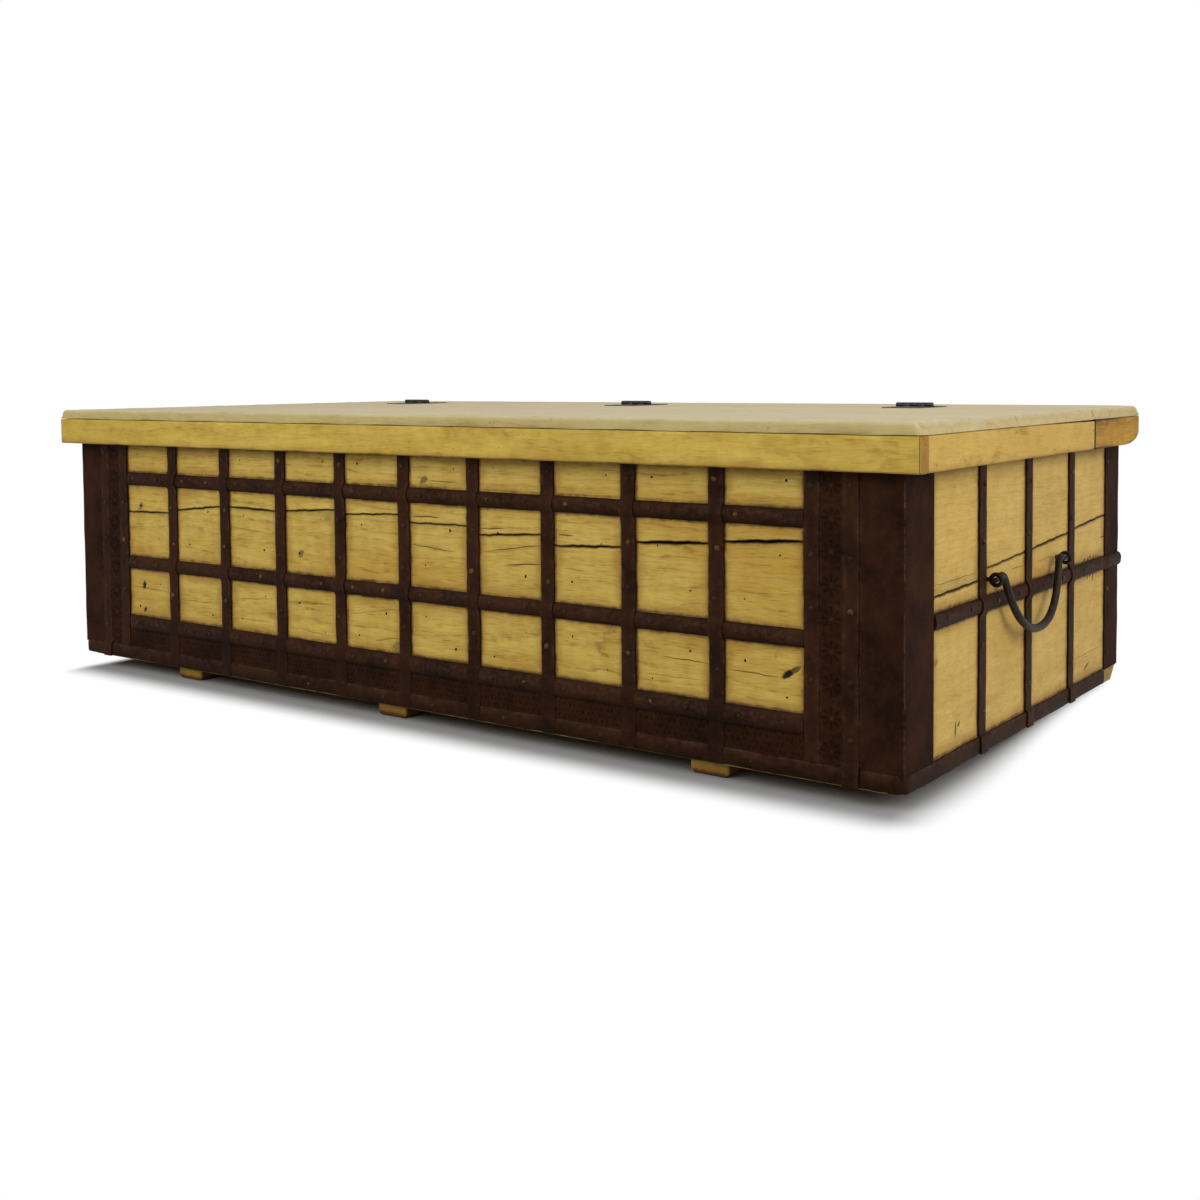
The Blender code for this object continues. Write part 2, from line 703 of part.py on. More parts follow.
def bent_path(points, offset):
    """A path that runs offset outside a run of corners and bends round each of them.

    The points run with the body on their left, so outwards is to the right of the path.
    """
    points = [Vector(point) for point in points]
    normals = []
    for a, b in zip(points, points[1:]):
        along = (b - a).normalized()
        normals.append(Vector((along.y, -along.x)))
    path = [points[0] + normals[0] * offset]
    for corner, before, after in zip(points[1:], normals, normals[1:]):
        for i in range(BEND_STEPS + 1):
            turn = i / BEND_STEPS * math.pi / 2
            path.append(corner + (before * math.cos(turn) + after * math.sin(turn)) * offset)
    path.append(points[-1] + normals[-1] * offset)
    return path


def bent_strip(points, thickness):
    """Plan outline of a strip of this thickness, seated round the corners of the body."""
    inner = bent_path(points, SEAT)
    outer = bent_path(points, SEAT + thickness)
    return [tuple(p) for p in inner + outer[::-1]]


def build_corner_plates(shop):
    """Bent plates on the four upright edges of the body."""
    for side, sign in SIDES.items():
        end = sign * BODY_END
        front = [
            (sign * TRIM_OUTER, BODY_FRONT), (end, BODY_FRONT), (end, BODY_FRONT + END_PLATE_LEG)
        ]
        rear = [
            (end, BODY_BACK - REAR_PLATE_LEG), (end, BODY_BACK), (end - sign * REAR_PLATE_LEG, BODY_BACK)
        ]
        for name, run, low in (
            ("front", front, EDGE_BAND_TOP + SEAT),
            ("rear", rear, RUNNER_HEIGHT + REAR_PLATE_LIFT),
        ):
            ordered = run if sign > 0 else run[::-1]
            outline_piece(
                shop, f"{name}_{side}_corner_plate",
                bent_strip(ordered, PLATE_THICKNESS), "Z",
                low, RAIL_BOTTOM + STRAP_TUCK, shop.iron,
            )


def build_edge_bands(shop):
    """The band bent round the foot of the front and ends, and the straight one behind."""
    stop = BODY_BACK - EDGE_BAND_REAR_GAP
    run = [
        (-BODY_END, stop), (-BODY_END, BODY_FRONT), (BODY_END, BODY_FRONT), (BODY_END, stop)
    ]
    outline_piece(
        shop, "foot_band", bent_strip(run, EDGE_BAND_THICKNESS), "Z",
        EDGE_BAND_LOW, EDGE_BAND_TOP, shop.iron,
    )
    half = BODY_END - EDGE_BAND_REAR_GAP
    section = half_round(EDGE_BAND_HEIGHT, EDGE_BAND_THICKNESS)
    level = (EDGE_BAND_LOW + EDGE_BAND_TOP) / 2
    outline = [(BODY_BACK + SEAT + offset, level + z) for offset, z in section]
    outline_piece(shop, "back_foot_band", outline, "X", -half, half, shop.iron)


def swept_band(name, section, path):
    """A band whose section follows a level path. Offsets point to the right of the path."""
    profile_curve = bpy.data.curves.new(f"{name}_section", "CURVE")
    profile_curve.dimensions = "2D"
    profile_curve.fill_mode = "NONE"
    poly_spline(profile_curve, section, True)
    profile = bpy.data.objects.new(f"{name}_section", profile_curve)
    bpy.context.scene.collection.objects.link(profile)
    curve = bpy.data.curves.new(name, "CURVE")
    curve.dimensions = "3D"
    curve.twist_mode = "Z_UP"
    curve.bevel_mode = "OBJECT"
    curve.bevel_object = profile
    curve.use_fill_caps = True
    poly_spline(curve, [tuple(point) for point in path], False)
    mesh = curve_mesh(name, curve)
    bpy.data.objects.remove(profile)
    bpy.data.curves.remove(profile_curve)
    return mesh


def build_end_ironwork(shop):
    """On each end a half-round band that laps the rear corner plate, and three straps welded over it."""
    step = SEAT + PLATE_THICKNESS
    plate_edge = BODY_BACK - REAR_PLATE_LEG
    ease = 2 * BAND_HEIGHT
    band_section = half_round(END_BAND_WIDTH, BAND_HEIGHT)
    for side, sign in SIDES.items():
        corner = [(BODY_END, plate_edge), (BODY_END, BODY_BACK), (BODY_END - END_BAND_WRAP, BODY_BACK)]
        lapped = bent_path(corner, SEAT + step)
        start = Vector((BODY_END + SEAT, BODY_FRONT + END_PLATE_LEG + SEAT))
        run = [start, Vector((BODY_END + SEAT, plate_edge - ease))] + lapped
        path = [Vector((sign * p.x, p.y, END_BAND_LEVEL)) for p in run]
        if sign < 0:
            path.reverse()
        name = f"{side}_end_strapwork"
        mesh, place = centred(swept_band(name, band_section, path))
        band = shop.piece(name, mesh, shop.iron, place)
        profile = [(sign * (BODY_END + offset), z) for offset, z in strap_outline(end_strap_face)]
        for i, y in enumerate(END_STRAP_PLACES):
            low = y - STRAP_WIDTH / 2
            strap = outline_mesh("end_strap", profile, "Y", low, low + STRAP_WIDTH)
            boolean(band, shop.tool(f"{name}_strap_{i + 1}", strap), "UNION")


def bail_path():
    """((y, z), rod radius) along half a bail, from its pivot over the crook to the lowest point.

    The handle's axis is at z = 0, and the half shown is the one at negative y.
    """
    eye = -EYE_SPAN / 2
    tail = Vector((eye - PIVOT_TAIL, 0.0, 0.0))
    lead = Vector((eye + PIVOT_LEAD, 0.0, 0.0))
    crown = Vector((eye + CROOK_REACH, CROOK_RISE, 0.0))
    pull = Vector(((CROOK_REACH - PIVOT_LEAD) / 2, 0.0, 0.0))
    ramp = interpolate_bezier(lead, lead + pull, crown - pull, crown, RAMP_STEPS + 1)
    turns = [CROOK_LEG_TURN * i / CROOK_STEPS for i in range(1, CROOK_STEPS + 1)]
    crook = [crown + CROOK_RADIUS * Vector((math.sin(t), math.cos(t) - 1, 0.0)) for t in turns]
    leave = crook[-1]
    away = Vector((math.cos(CROOK_LEG_TURN), -math.sin(CROOK_LEG_TURN), 0.0))
    bottom = Vector((0.0, -BAIL_DROP, 0.0))
    leg_pull = leave + away * BAIL_LEG_SHARE * EYE_SPAN
    bottom_pull = bottom - Vector((BAIL_BOTTOM_SHARE * EYE_SPAN, 0.0, 0.0))
    leg = interpolate_bezier(leave, leg_pull, bottom_pull, bottom, LEG_STEPS + 1)[1:]
    bend = ramp[1:] + crook
    path = [(tail, PIVOT_RADIUS), (lead, PIVOT_RADIUS)]
    path += thickening(bend, PIVOT_RADIUS, CROOK_ROD_RADIUS)
    return path + thickening(leg, CROOK_ROD_RADIUS, BAIL_RADIUS)


def thickening(points, start, end):
    """Points with a rod radius that grows evenly from start to end."""
    count = len(points)
    return [(p, start + (end - start) * (i + 1) / count) for i, p in enumerate(points)]


def build_handle(shop, side):
    """A bail hung from two eyes, leaning out a little, its origin on the line through them."""
    sign = SIDES[side]
    axis_x = sign * (BODY_END + EYE_STAND_OFF)
    half = bail_path()
    mirrored = [(Vector((-p.x, p.y, 0.0)), radius) for p, radius in reversed(half[:-1])]
    whole = half + mirrored
    curve = bpy.data.curves.new(f"{side}_bail", "CURVE")
    curve.dimensions = "3D"
    curve.bevel_depth = BAIL_RADIUS
    curve.bevel_resolution = 2
    curve.use_fill_caps = True
    out, down = -sign * math.sin(BAIL_LEAN), math.cos(BAIL_LEAN)
    spline = poly_spline(curve, [(out * p.y, p.x, down * p.y) for p, _ in whole], False)
    for target, (_, radius) in zip(spline.points, whole):
        target.radius = radius / BAIL_RADIUS
    mesh = smooth(curve_mesh(f"{side}_bail", curve))
    shop.piece(f"{side}_handle_bail", mesh, shop.iron, (axis_x, HANDLE_MIDDLE, EYE_LEVEL))
    for eye, y in EYE_PLACES.items():
        build_eye(shop, f"{side}_handle_{eye}_eye", sign, (axis_x, y, EYE_LEVEL))


def build_eye(shop, name, sign, place):
    """An eye bolt: a ring, a shank through the end board and a rivet head inside."""
    bpy.ops.mesh.primitive_torus_add(
        major_radius=EYE_RADIUS, minor_radius=EYE_WIRE_RADIUS,
        major_segments=RING_SIDES, minor_segments=WIRE_SIDES, rotation=(math.pi / 2, 0.0, 0.0),
    )
    ring = bpy.context.object
    bpy.ops.object.transform_apply(location=False, rotation=True, scale=False)
    mesh = smooth(ring.data.copy())
    bpy.data.objects.remove(ring)
    eye = shop.piece(name, mesh, shop.iron, place)
    shank_start = EYE_STAND_OFF - EYE_RADIUS
    shank_end = -WALL_THICKNESS - SEAT - EYE_RIVET_THICKNESS / 2
    along = sign * (BODY_END + (shank_start + shank_end) / 2)
    shank = rod("shank", EYE_SHANK_RADIUS, shank_start - shank_end)
    boolean(eye, shop.tool(f"{name}_shank", shank, (along, place[1], place[2])), "UNION")
    rivet = rod("rivet", EYE_RIVET_RADIUS, EYE_RIVET_THICKNESS)
    seat = sign * (BODY_END - WALL_THICKNESS - SEAT - EYE_RIVET_THICKNESS / 2)
    boolean(eye, shop.tool(f"{name}_rivet", rivet, (seat, place[1], place[2])), "UNION")


def main():
    """Builds the chest, the lid on its hinges and the handles."""
    for obj in list(bpy.data.objects):
        bpy.data.objects.remove(obj, do_unlink=True)
    shop = Workshop()
    build_floor(shop)
    build_walls(shop)
    build_fixed_top(shop)
    lid = build_lid(shop) + build_hinges(shop)
    carry(axis_empty(shop, "lid_hinge_axis", (0.0, SEAM, PIN_LEVEL)), lid)
    build_front_ironwork(shop)
    build_corner_trims(shop)
    build_corner_plates(shop)
    build_edge_bands(shop)
    build_end_ironwork(shop)
    for side in SIDES:
        build_handle(shop, side)


main()
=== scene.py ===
"""Looks of the iron-bound chest coffee table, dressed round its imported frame.

Metres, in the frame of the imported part: +X runs along the length towards the right end, +Y from
the front to the back and +Z up.
"""

from __future__ import annotations

import json
import logging
import math
from dataclasses import dataclass, field, replace
from enum import Enum
from typing import Callable, Sequence, Union

import bpy
import numpy as np
from mathutils import Matrix, Vector

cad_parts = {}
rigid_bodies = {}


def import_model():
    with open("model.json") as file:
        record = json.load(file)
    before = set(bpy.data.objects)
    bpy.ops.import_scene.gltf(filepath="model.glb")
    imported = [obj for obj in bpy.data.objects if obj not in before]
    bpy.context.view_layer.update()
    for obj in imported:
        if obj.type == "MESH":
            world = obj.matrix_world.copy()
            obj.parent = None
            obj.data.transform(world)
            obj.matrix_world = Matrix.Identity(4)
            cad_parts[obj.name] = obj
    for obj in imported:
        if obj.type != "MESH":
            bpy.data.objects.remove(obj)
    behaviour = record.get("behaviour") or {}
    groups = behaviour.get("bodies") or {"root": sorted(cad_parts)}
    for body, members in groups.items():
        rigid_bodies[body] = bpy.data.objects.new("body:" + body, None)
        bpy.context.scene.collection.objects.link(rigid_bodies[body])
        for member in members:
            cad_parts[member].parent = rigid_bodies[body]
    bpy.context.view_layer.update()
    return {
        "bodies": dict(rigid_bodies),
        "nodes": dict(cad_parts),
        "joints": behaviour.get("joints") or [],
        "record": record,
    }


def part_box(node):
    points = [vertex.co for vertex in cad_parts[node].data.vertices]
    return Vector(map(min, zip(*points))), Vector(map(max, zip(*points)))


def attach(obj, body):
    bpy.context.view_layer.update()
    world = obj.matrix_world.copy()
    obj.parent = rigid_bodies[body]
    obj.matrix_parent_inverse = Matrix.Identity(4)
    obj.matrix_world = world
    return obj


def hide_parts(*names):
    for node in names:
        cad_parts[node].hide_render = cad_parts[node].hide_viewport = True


LOG = logging.getLogger("chest")
MM = 0.001
UP = Vector((0.0, 0.0, 1.0))
# Points closer than this are one point.
WELD = 1e-6
# How far dirt reaches from the edge of an iron.
REACH = 20.0 * MM
# The gap between an iron's back and the wood.
SEAT = 0.3 * MM


class Body(Enum):
    """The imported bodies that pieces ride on."""

    CHEST = "chest"
    LID = "lid"
    LEFT_HANDLE = "left_handle"
    RIGHT_HANDLE = "right_handle"


class Slot(Enum):
    """The record's material slots."""

    HONEY_WOOD = "honey_wood"
    PALE_WOOD = "pale_wood"
    STRAP_IRON = "strap_iron"
    HANDLE_IRON = "handle_iron"
    HINGE_STEEL = "hinge_steel"


class Axis(Enum):
    """A direction along the chest, as the index of a coordinate."""

    X = 0
    Y = 1
    Z = 2


class Side(Enum):
    """An end of the chest, as the sign of its X."""

    LEFT = -1
    RIGHT = 1

    @property
    def word(self) -> str:
        """The side's name in the nodes."""
        return self.name.lower()


class Wall(Enum):
    """A wall of the chest: the axis along it, the axis across it and the sign of its outside."""

    FRONT = (Axis.X, Axis.Y, -1)
    BACK = (Axis.X, Axis.Y, 1)
    RIGHT = (Axis.Y, Axis.X, 1)
    LEFT = (Axis.Y, Axis.X, -1)

    def points(self, along: np.ndarray, out: np.ndarray, height: np.ndarray) -> np.ndarray:
        """Places points given by the wall's own directions.

        Args:
            along: Coordinates along the wall.
            out: Coordinates across the wall.
            height: Coordinates up the wall.

        Returns:
            The points, with their three coordinates in the last dimension.
        """
        run, across, _ = self.value
        placed = np.zeros((*np.shape(height), 3))
        placed[..., run.value] = along
        placed[..., across.value] = out
        placed[..., 2] = height
        return placed

    @property
    def outside(self) -> int:
        """The sign of the direction out of the chest."""
        return self.value[2]

    @property
    def turned(self) -> bool:
        """Whether a sheet's columns run backwards, so that its face looks outwards."""
        return self in (Wall.BACK, Wall.LEFT)

    @property
    def normal(self) -> Vector:
        """The direction out of the chest."""
        return Vector([float(self.outside * (axis is self.value[1])) for axis in Axis])


@dataclass(frozen=True)
class Colour:
    """An eight-bit sRGB colour as it looks on the object."""

    red: int
    green: int
    blue: int

    @property
    def linear(self) -> tuple[float, float, float, float]:
        """The colour in linear light, with full alpha."""
        parts = [part / 255 for part in (self.red, self.green, self.blue)]
        return (*(p / 12.92 if p <= 0.04045 else ((p + 0.055) / 1.055) ** 2.4 for p in parts), 1.0)


class Value:
    """A shader socket that takes part in Python arithmetic."""

    def __init__(self, graph: Graph, socket: bpy.types.NodeSocket | None) -> None:
        """Keeps a socket with the graph that it belongs to."""
        self.graph = graph
        self.socket = socket

    def _math(self, operation: str, first: Operand, second: Operand = 0.0) -> Value:
        """A Math node on two operands."""
        return self.graph.node("ShaderNodeMath", {"operation": operation}, {0: first, 1: second})

    def __add__(self, other: Operand) -> Value:
        """Sum, in either order."""
        return self._math("ADD", self, other)

    def __mul__(self, other: Operand) -> Value:
        """Product, in either order."""
        return self._math("MULTIPLY", self, other)

    __radd__ = __add__
    __rmul__ = __mul__

    def __sub__(self, other: Operand) -> Value:
        """Difference."""
        return self._math("SUBTRACT", self, other)

    def __rsub__(self, other: Operand) -> Value:
        """Difference from a number in front."""
        return self._math("SUBTRACT", other, self)

    def __truediv__(self, other: Operand) -> Value:
        """Quotient."""
        return self._math("DIVIDE", self, other)

    def __pow__(self, other: Operand) -> Value:
        """Power."""
        return self._math("POWER", self, other)

    def fraction(self) -> Value:
        """The part after the point."""
        return self._math("FRACT", self)

    def limited(self) -> Value:
        """The value held between 0 and 1."""
        return self.graph.node("ShaderNodeClamp", {}, {"Value": self})

    def step(self, low: float, high: float) -> Value:
        """A smooth rise from 0 to 1 between two values."""
        inputs = {"Value": self, "From Min": low, "From Max": high}
        return self.graph.node("ShaderNodeMapRange", {"interpolation_type": "SMOOTHSTEP"}, inputs)


Operand = Union[Value, float]
Input = Union[Value, float, Sequence[float]]


class Graph:
    """The node tree of one finish, or of the world."""

    def __init__(self, owner: bpy.types.Material | bpy.types.World) -> None:
        """Empties the tree of a material or of the world.

        Args:
            owner: What the tree belongs to.
        """
        owner.use_nodes = True
        self.owner = owner
        self.tree = owner.node_tree
        self.tree.nodes.clear()

    def node(
        self,
        kind: str,
        settings: dict | None = None,
        inputs: dict | None = None,
        output: str | int = 0,
    ) -> Value:
        """Adds a node.

        Args:
            kind: The node's type.
            settings: Properties of the node, set first.
            inputs: Values or links of its sockets, by name or number.
            output: The socket to hand on.

        Returns:
            The output socket.
        """
        made = self.tree.nodes.new(kind)
        for key, value in (settings or {}).items():
            setattr(made, key, value)
        for key, value in (inputs or {}).items():
            if isinstance(value, Value):
                self.tree.links.new(value.socket, made.inputs[key])
            else:
                made.inputs[key].default_value = value
        return Value(self, made.outputs[output] if made.outputs else None)

    def place(self) -> Value:
        """The place on the piece, in metres."""
        return self.node("ShaderNodeTexCoord", output="Object")

    def parts(self, vector: Value) -> list[Value]:
        """The three coordinates of a vector."""
        split = self.node("ShaderNodeSeparateXYZ", {}, {0: vector})
        return [Value(self, socket) for socket in split.socket.node.outputs]

    def stretched(self, scale: Sequence[float], shift: Sequence[float]) -> Value:
        """The place, stretched by a factor along each axis and then moved."""
        inputs = {"Vector": self.place(), "Scale": scale, "Location": shift}
        return self.node("ShaderNodeMapping", {}, inputs)

    def noise(self, place: Value, scale: float, detail: float = 3.0, rough: float = 0.55) -> Value:
        """Cloudy noise between 0 and 1 at a place."""
        inputs = {"Vector": place, "Scale": scale, "Detail": detail, "Roughness": rough}
        return self.node("ShaderNodeTexNoise", {}, inputs)

    def attribute(self, name: str) -> Value:
        """A number stored on the piece's points."""
        return self.node("ShaderNodeAttribute", {"attribute_name": name}, {}, "Fac")

    def mix(self, share: Operand, first: Input, second: Input, blend: str = "MIX") -> Value:
        """Blends a share of the second colour into the first."""
        settings = {"data_type": "RGBA", "blend_type": blend}
        return self.node("ShaderNodeMix", settings, {0: share, 6: first, 7: second}, 2)

    def coated(self, colour: Value, *coats: tuple[Operand, Colour]) -> Value:
        """Lays coats over a colour.

        Args:
            colour: What is underneath.
            coats: How much of each coat shows, and its colour, from the lowest up.

        Returns:
            The colour that shows.
        """
        for share, coat in coats:
            colour = self.mix(share, colour, coat.linear)
        return colour

    def bump(self, height: Value, depth: float, strength: float) -> Value:
        """A normal that follows a height from 0 to 1, where 1 is a depth in metres."""
        inputs = {"Height": height, "Distance": depth, "Strength": strength}
        return self.node("ShaderNodeBump", {}, inputs)

    def surface(self, inputs: dict[str, Input]) -> bpy.types.Material:
        """Ends the tree in a surface.

        Args:
            inputs: Values or links of the surface's sockets.

        Returns:
            The finished material.
        """
        shader = self.node("ShaderNodeBsdfPrincipled", {}, inputs)
        self.node("ShaderNodeOutputMaterial", {}, {"Surface": shader})
        return self.owner

    def seen(self, gloss: float) -> Value:
        """Tells where the backdrop is looked at from where it lights.

        Args:
            gloss: How much of it shows in a shine.

        Returns:
            1 where it is seen, straight or through a shine, and 0 where it lights.
        """
        names = ("Is Camera Ray", "Is Transmission Ray", "Is Glossy Ray")
        straight, through, shine = (self.node("ShaderNodeLightPath", output=n) for n in names)
        return (straight + through + shine * gloss).limited()


# Near-black painted shade in open cracks and the split between boards; also used for dark knots and the
# floor boards' shaded sides.
CRACK_SHADE = Colour(14, 9, 6)
# Dark of punched hollows; also painted shade on the lower sides of bands and along the sides of straps.
HOLLOW_AND_SHADE = Colour(17, 10, 7)


@dataclass(frozen=True)
class Finish:
    """A finish: its name and its slot in the record."""

    name: str
    slot: Slot

    def material(self) -> bpy.types.Material:
        """The finish, made once."""
        made = bpy.data.materials.get(self.name)
        return made or self._drawn(Graph(bpy.data.materials.new(self.name)))

    def _drawn(self, graph: Graph) -> bpy.types.Material:
        """The finish, drawn in its node tree."""
        raise NotImplementedError


@dataclass(frozen=True)
class Wood(Finish):
    """Old softwood boards: growth rings, fibres, stains and a rim of dirt and painted shade beside the
    iron.
    """

    light: Colour
    deep: Colour
    late: Colour
    grain: Axis = Axis.X
    heart: tuple[float, float, float] = (0.0, -0.24, 0.16)
    amber: Colour = Colour(178, 132, 36)
    stain: Colour = Colour(150, 104, 28)
    # Dark of dirt; also painted shade in the narrow rim and on shaded sides.
    grime: Colour = Colour(48, 34, 13)
    side: tuple[float, float, float] | None = None
    end_grain: tuple[float, float, float] | None = None
    ring: float = 9.0 * MM
    contrast: float = 0.16
    dashes: float = 0.6
    fibres: float = 0.5
    lines: float = 0.62
    roughness: float = 0.55
    # Widths of the narrow and the wide rim of dirt and painted shade.
    rim: float = 4.6 * MM
    wide_rim: float = 15.0 * MM

    def _figure(
        self, graph: Graph, along: float, across: float, detail: float, rough: float = 0.55,
        shift: Sequence[float] = (0.0, 0.0, 0.0),
    ) -> Value:
        """Noise that is drawn out along the grain.

        Args:
            graph: The node tree.
            along: Its scale along the grain.
            across: Its scale across the grain.
            detail: How many finer noises are in it.
            rough: How strong these are.
            shift: How far it is moved.

        Returns:
            The noise, between 0 and 1.
        """
        scale = [along if axis is self.grain else across for axis in Axis]
        return graph.noise(graph.stretched(scale, shift), 1.0, detail, rough)

    def _rings(self, graph: Graph) -> tuple[Value, Value]:
        """Growth rings round the log's heart.

        Args:
            graph: The node tree.

        Returns:
            The late wood's slow darkening and the thin line that ends each ring.
        """
        wander = self._figure(graph, 1.7, 9.0, 4.0)
        fine = self._figure(graph, 12.0, 110.0, 2.0)
        across = [
            (part - self.heart[axis.value]) ** 2.0
            for axis, part in zip(Axis, graph.parts(graph.place()))
            if axis is not self.grain
        ]
        radius = (across[0] + across[1]) ** 0.5 + wander * 0.06 + fine * 0.006
        phase = (radius / self.ring).fraction()
        end = 1.0 - phase.step(0.95, 1.0)
        return phase.step(0.45, 0.93) * end, phase.step(0.8, 0.94) * end

    def _dirt(self, graph: Graph, cloud: Value) -> tuple[Value, Value]:
        """Dirt and painted shade beside the iron, under the lid and along lower edges, as a wide brown
        rim and a narrow dark one with a ragged edge.

        Args:
            graph: The node tree.
            cloud: Large patches that the dirt follows.

        Returns:
            The shares of the wide and of the narrow rim.
        """
        rough = graph.noise(graph.place(), 70.0, 4.0, 0.65)
        away = (1.0 - graph.attribute("near")) * REACH
        ragged = away + (rough - 0.5) * (6.0 * MM)
        wide = 1.0 - (ragged + (cloud - 0.5) * (34.0 * MM)).step(0.0, self.wide_rim)
        return wide * 0.55, (1.0 - ragged.step(0.0, self.rim)) * 0.85

    def _shaded(self, graph: Graph, colour: Value) -> Value:
        """Shades the upright sides and the end grain.

        Args:
            graph: The node tree.
            colour: The wood's colour.

        Returns:
            The shaded colour.
        """
        facing = graph.parts(graph.node("ShaderNodeTexCoord", output="Normal"))
        if self.side:
            upright = 1.0 - facing[2].step(0.35, 0.85)
            colour = graph.mix(upright, colour, (*self.side, 1.0), "MULTIPLY")
        if self.end_grain:
            cut = (facing[self.grain.value] ** 2.0).step(0.4, 0.8)
            colour = graph.mix(cut, colour, (*self.end_grain, 1.0), "MULTIPLY")
        return colour

    def _drawn(self, graph: Graph) -> bpy.types.Material:
        """Lays figure, stains, dirt and cracks over each other, with painted shade in the rims, on dark
        sides and in the cracks.

        Args:
            graph: The node tree.

        Returns:
            The material.
        """
        rings, line = self._rings(graph)
        fibre = self._figure(graph, 44.0, 640.0, 3.0, 0.6)
        streak = self._figure(graph, 7.0, 58.0, 6.0, 0.68)
        dash = self._figure(graph, 34.0, 400.0, 2.0)
        cloud = self._figure(graph, 5.0, 11.0, 4.0, 0.6)
        patch = self._figure(graph, 2.6, 7.0, 5.0, 0.6, (0.3, 0.7, 0.2))
        mottle = graph.noise(graph.place(), 42.0, 4.0, 0.65)
        speck = graph.noise(graph.place(), 210.0, 2.0)
        tone = streak.step(0.3, 0.74) * 0.4 + mottle.step(0.34, 0.7) * 0.35
        tone = tone + fibre.step(0.3, 0.7) * 0.25
        drawn = 0.25 + streak.step(0.4, 0.62) * 0.75
        gone = mottle.step(0.4, 0.62) * cloud.step(0.42, 0.6)
        colour = graph.coated(
            graph.mix(tone, self.light.linear, self.deep.linear),
            (rings * self.contrast, self.late),
            (cloud.step(0.5, 0.74) * 0.35, self.deep),
            (patch.step(0.46, 0.76) * 0.6, self.amber),
            (line * gone * self.lines, self.late),
            (fibre.step(0.48, 0.76) * drawn * self.fibres, self.late),
            (dash.step(0.57, 0.73) * drawn * self.dashes, self.late),
            (speck.step(0.68, 0.8) * 0.5, self.grime),
        )
        wide, narrow_dirt_and_shade = self._dirt(graph, cloud)
        grime = graph.attribute("grime")
        # Painted shade together with dirt: rims beside the iron, under the lid and along lower edges,
        # dark sides and near-black cracks.
        colour = graph.coated(
            self._shaded(graph, colour),
            (wide, self.stain),
            (narrow_dirt_and_shade, self.grime),
            (grime.step(0.05, 0.7) * 0.75, self.grime),
            (grime.step(0.75, 1.0), CRACK_SHADE),
        )
        height = fibre * 0.5 + rings * 0.2 + mottle * 0.3
        return graph.surface(
            {
                "Base Color": colour,
                "Roughness": self.roughness + fibre * 0.16 + narrow_dirt_and_shade * 0.15,
                "Normal": graph.bump(height, 0.3 * MM, 0.6),
                "Specular IOR Level": 0.3,
            }
        )


@dataclass(frozen=True)
class Iron(Finish):
    """Old strip and sheet iron: brown rust, mottling, pits and worn edges, with painted highlights on
    crests and bends and painted shade on lower sides and along strap sides.
    """

    dark: Colour = Colour(31, 16, 8)
    brown: Colour = Colour(55, 31, 16)
    rust: Colour = Colour(84, 44, 24)
    # The colour of wear; also a painted highlight on crests, bends and the foot band's upper edge.
    worn: Colour = Colour(88, 65, 50)
    metallic: float = 0.12
    roughness: float = 0.52
    pits: float = 0.6
    rusting: float = 0.5
    spread: float = 0.0
    gloss: float = 0.045

    def _drawn(self, graph: Graph) -> bpy.types.Material:
        """Lays rust, wear and dirt over each other, with painted highlights where wear is marked on
        crests and bends, and painted shade where hollows are marked on lower sides.

        Args:
            graph: The node tree.

        Returns:
            The material.
        """
        place = graph.place()
        cloud = graph.noise(place, 18.0, 4.0, 0.6)
        mottle = graph.noise(place, 130.0, 5.0, 0.68)
        grit = graph.noise(place, 700.0, 2.0, 0.6)
        wear = graph.attribute("wear") * mottle.step(0.36, 0.62)
        rust = mottle.step(0.54, 0.72) * cloud.step(0.4, 0.68) * self.rusting
        colour = graph.coated(
            graph.mix(cloud.step(0.3, 0.7), self.dark.linear, self.brown.linear),
            (mottle.step(0.42, 0.7) * 0.55, self.brown),
            (rust, self.rust),
            (wear * 0.7, self.worn),
            (grit.step(0.5, 0.72) * 0.45, self.dark),
            (graph.attribute("hollow") * 0.85, HOLLOW_AND_SHADE),
        )
        if self.spread:
            cell = graph.node("ShaderNodeTexVoronoi", {}, {"Vector": place, "Scale": 40.0}, "Color")
            lucky = graph.parts(cell)[0].step(0.6, 0.95)
            colour = graph.coated(colour, (lucky * self.spread, self.worn))
        height = mottle * 0.7 + grit * 0.3
        return graph.surface(
            {
                "Base Color": colour,
                "Metallic": self.metallic + wear * 0.3,
                "Roughness": self.roughness + mottle * 0.22 + rust * 0.2 - wear * 0.12,
                "Normal": graph.bump(height, 0.5 * MM, self.pits),
                "Specular IOR Level": self.gloss,
            }
        )


FRONT_WOOD = Wood(
    "front_honey_wood", Slot.HONEY_WOOD, Colour(216, 187, 93), Colour(182, 148, 56),
    Colour(124, 86, 28),
)
END_WOOD = replace(
    FRONT_WOOD, name="end_honey_wood", grain=Axis.Y, heart=(0.60, 0.0, 0.12), contrast=0.1,
    light=Colour(220, 186, 103), deep=Colour(189, 151, 68), late=Colour(156, 116, 48), dashes=0.2,
    amber=Colour(188, 143, 55), fibres=0.3, lines=0.3,
)
LEFT_END_WOOD = replace(END_WOOD, name="left_end_honey_wood", heart=(-0.58, 0.0, 0.16))
INNER_WOOD = replace(
    FRONT_WOOD, name="inner_honey_wood", light=Colour(198, 168, 92), deep=Colour(172, 136, 64),
    heart=(0.0, 0.0, -0.3),
)
BATTEN_WOOD = replace(INNER_WOOD, name="batten_honey_wood", grain=Axis.Y, heart=(0.1, 0.0, -0.2))
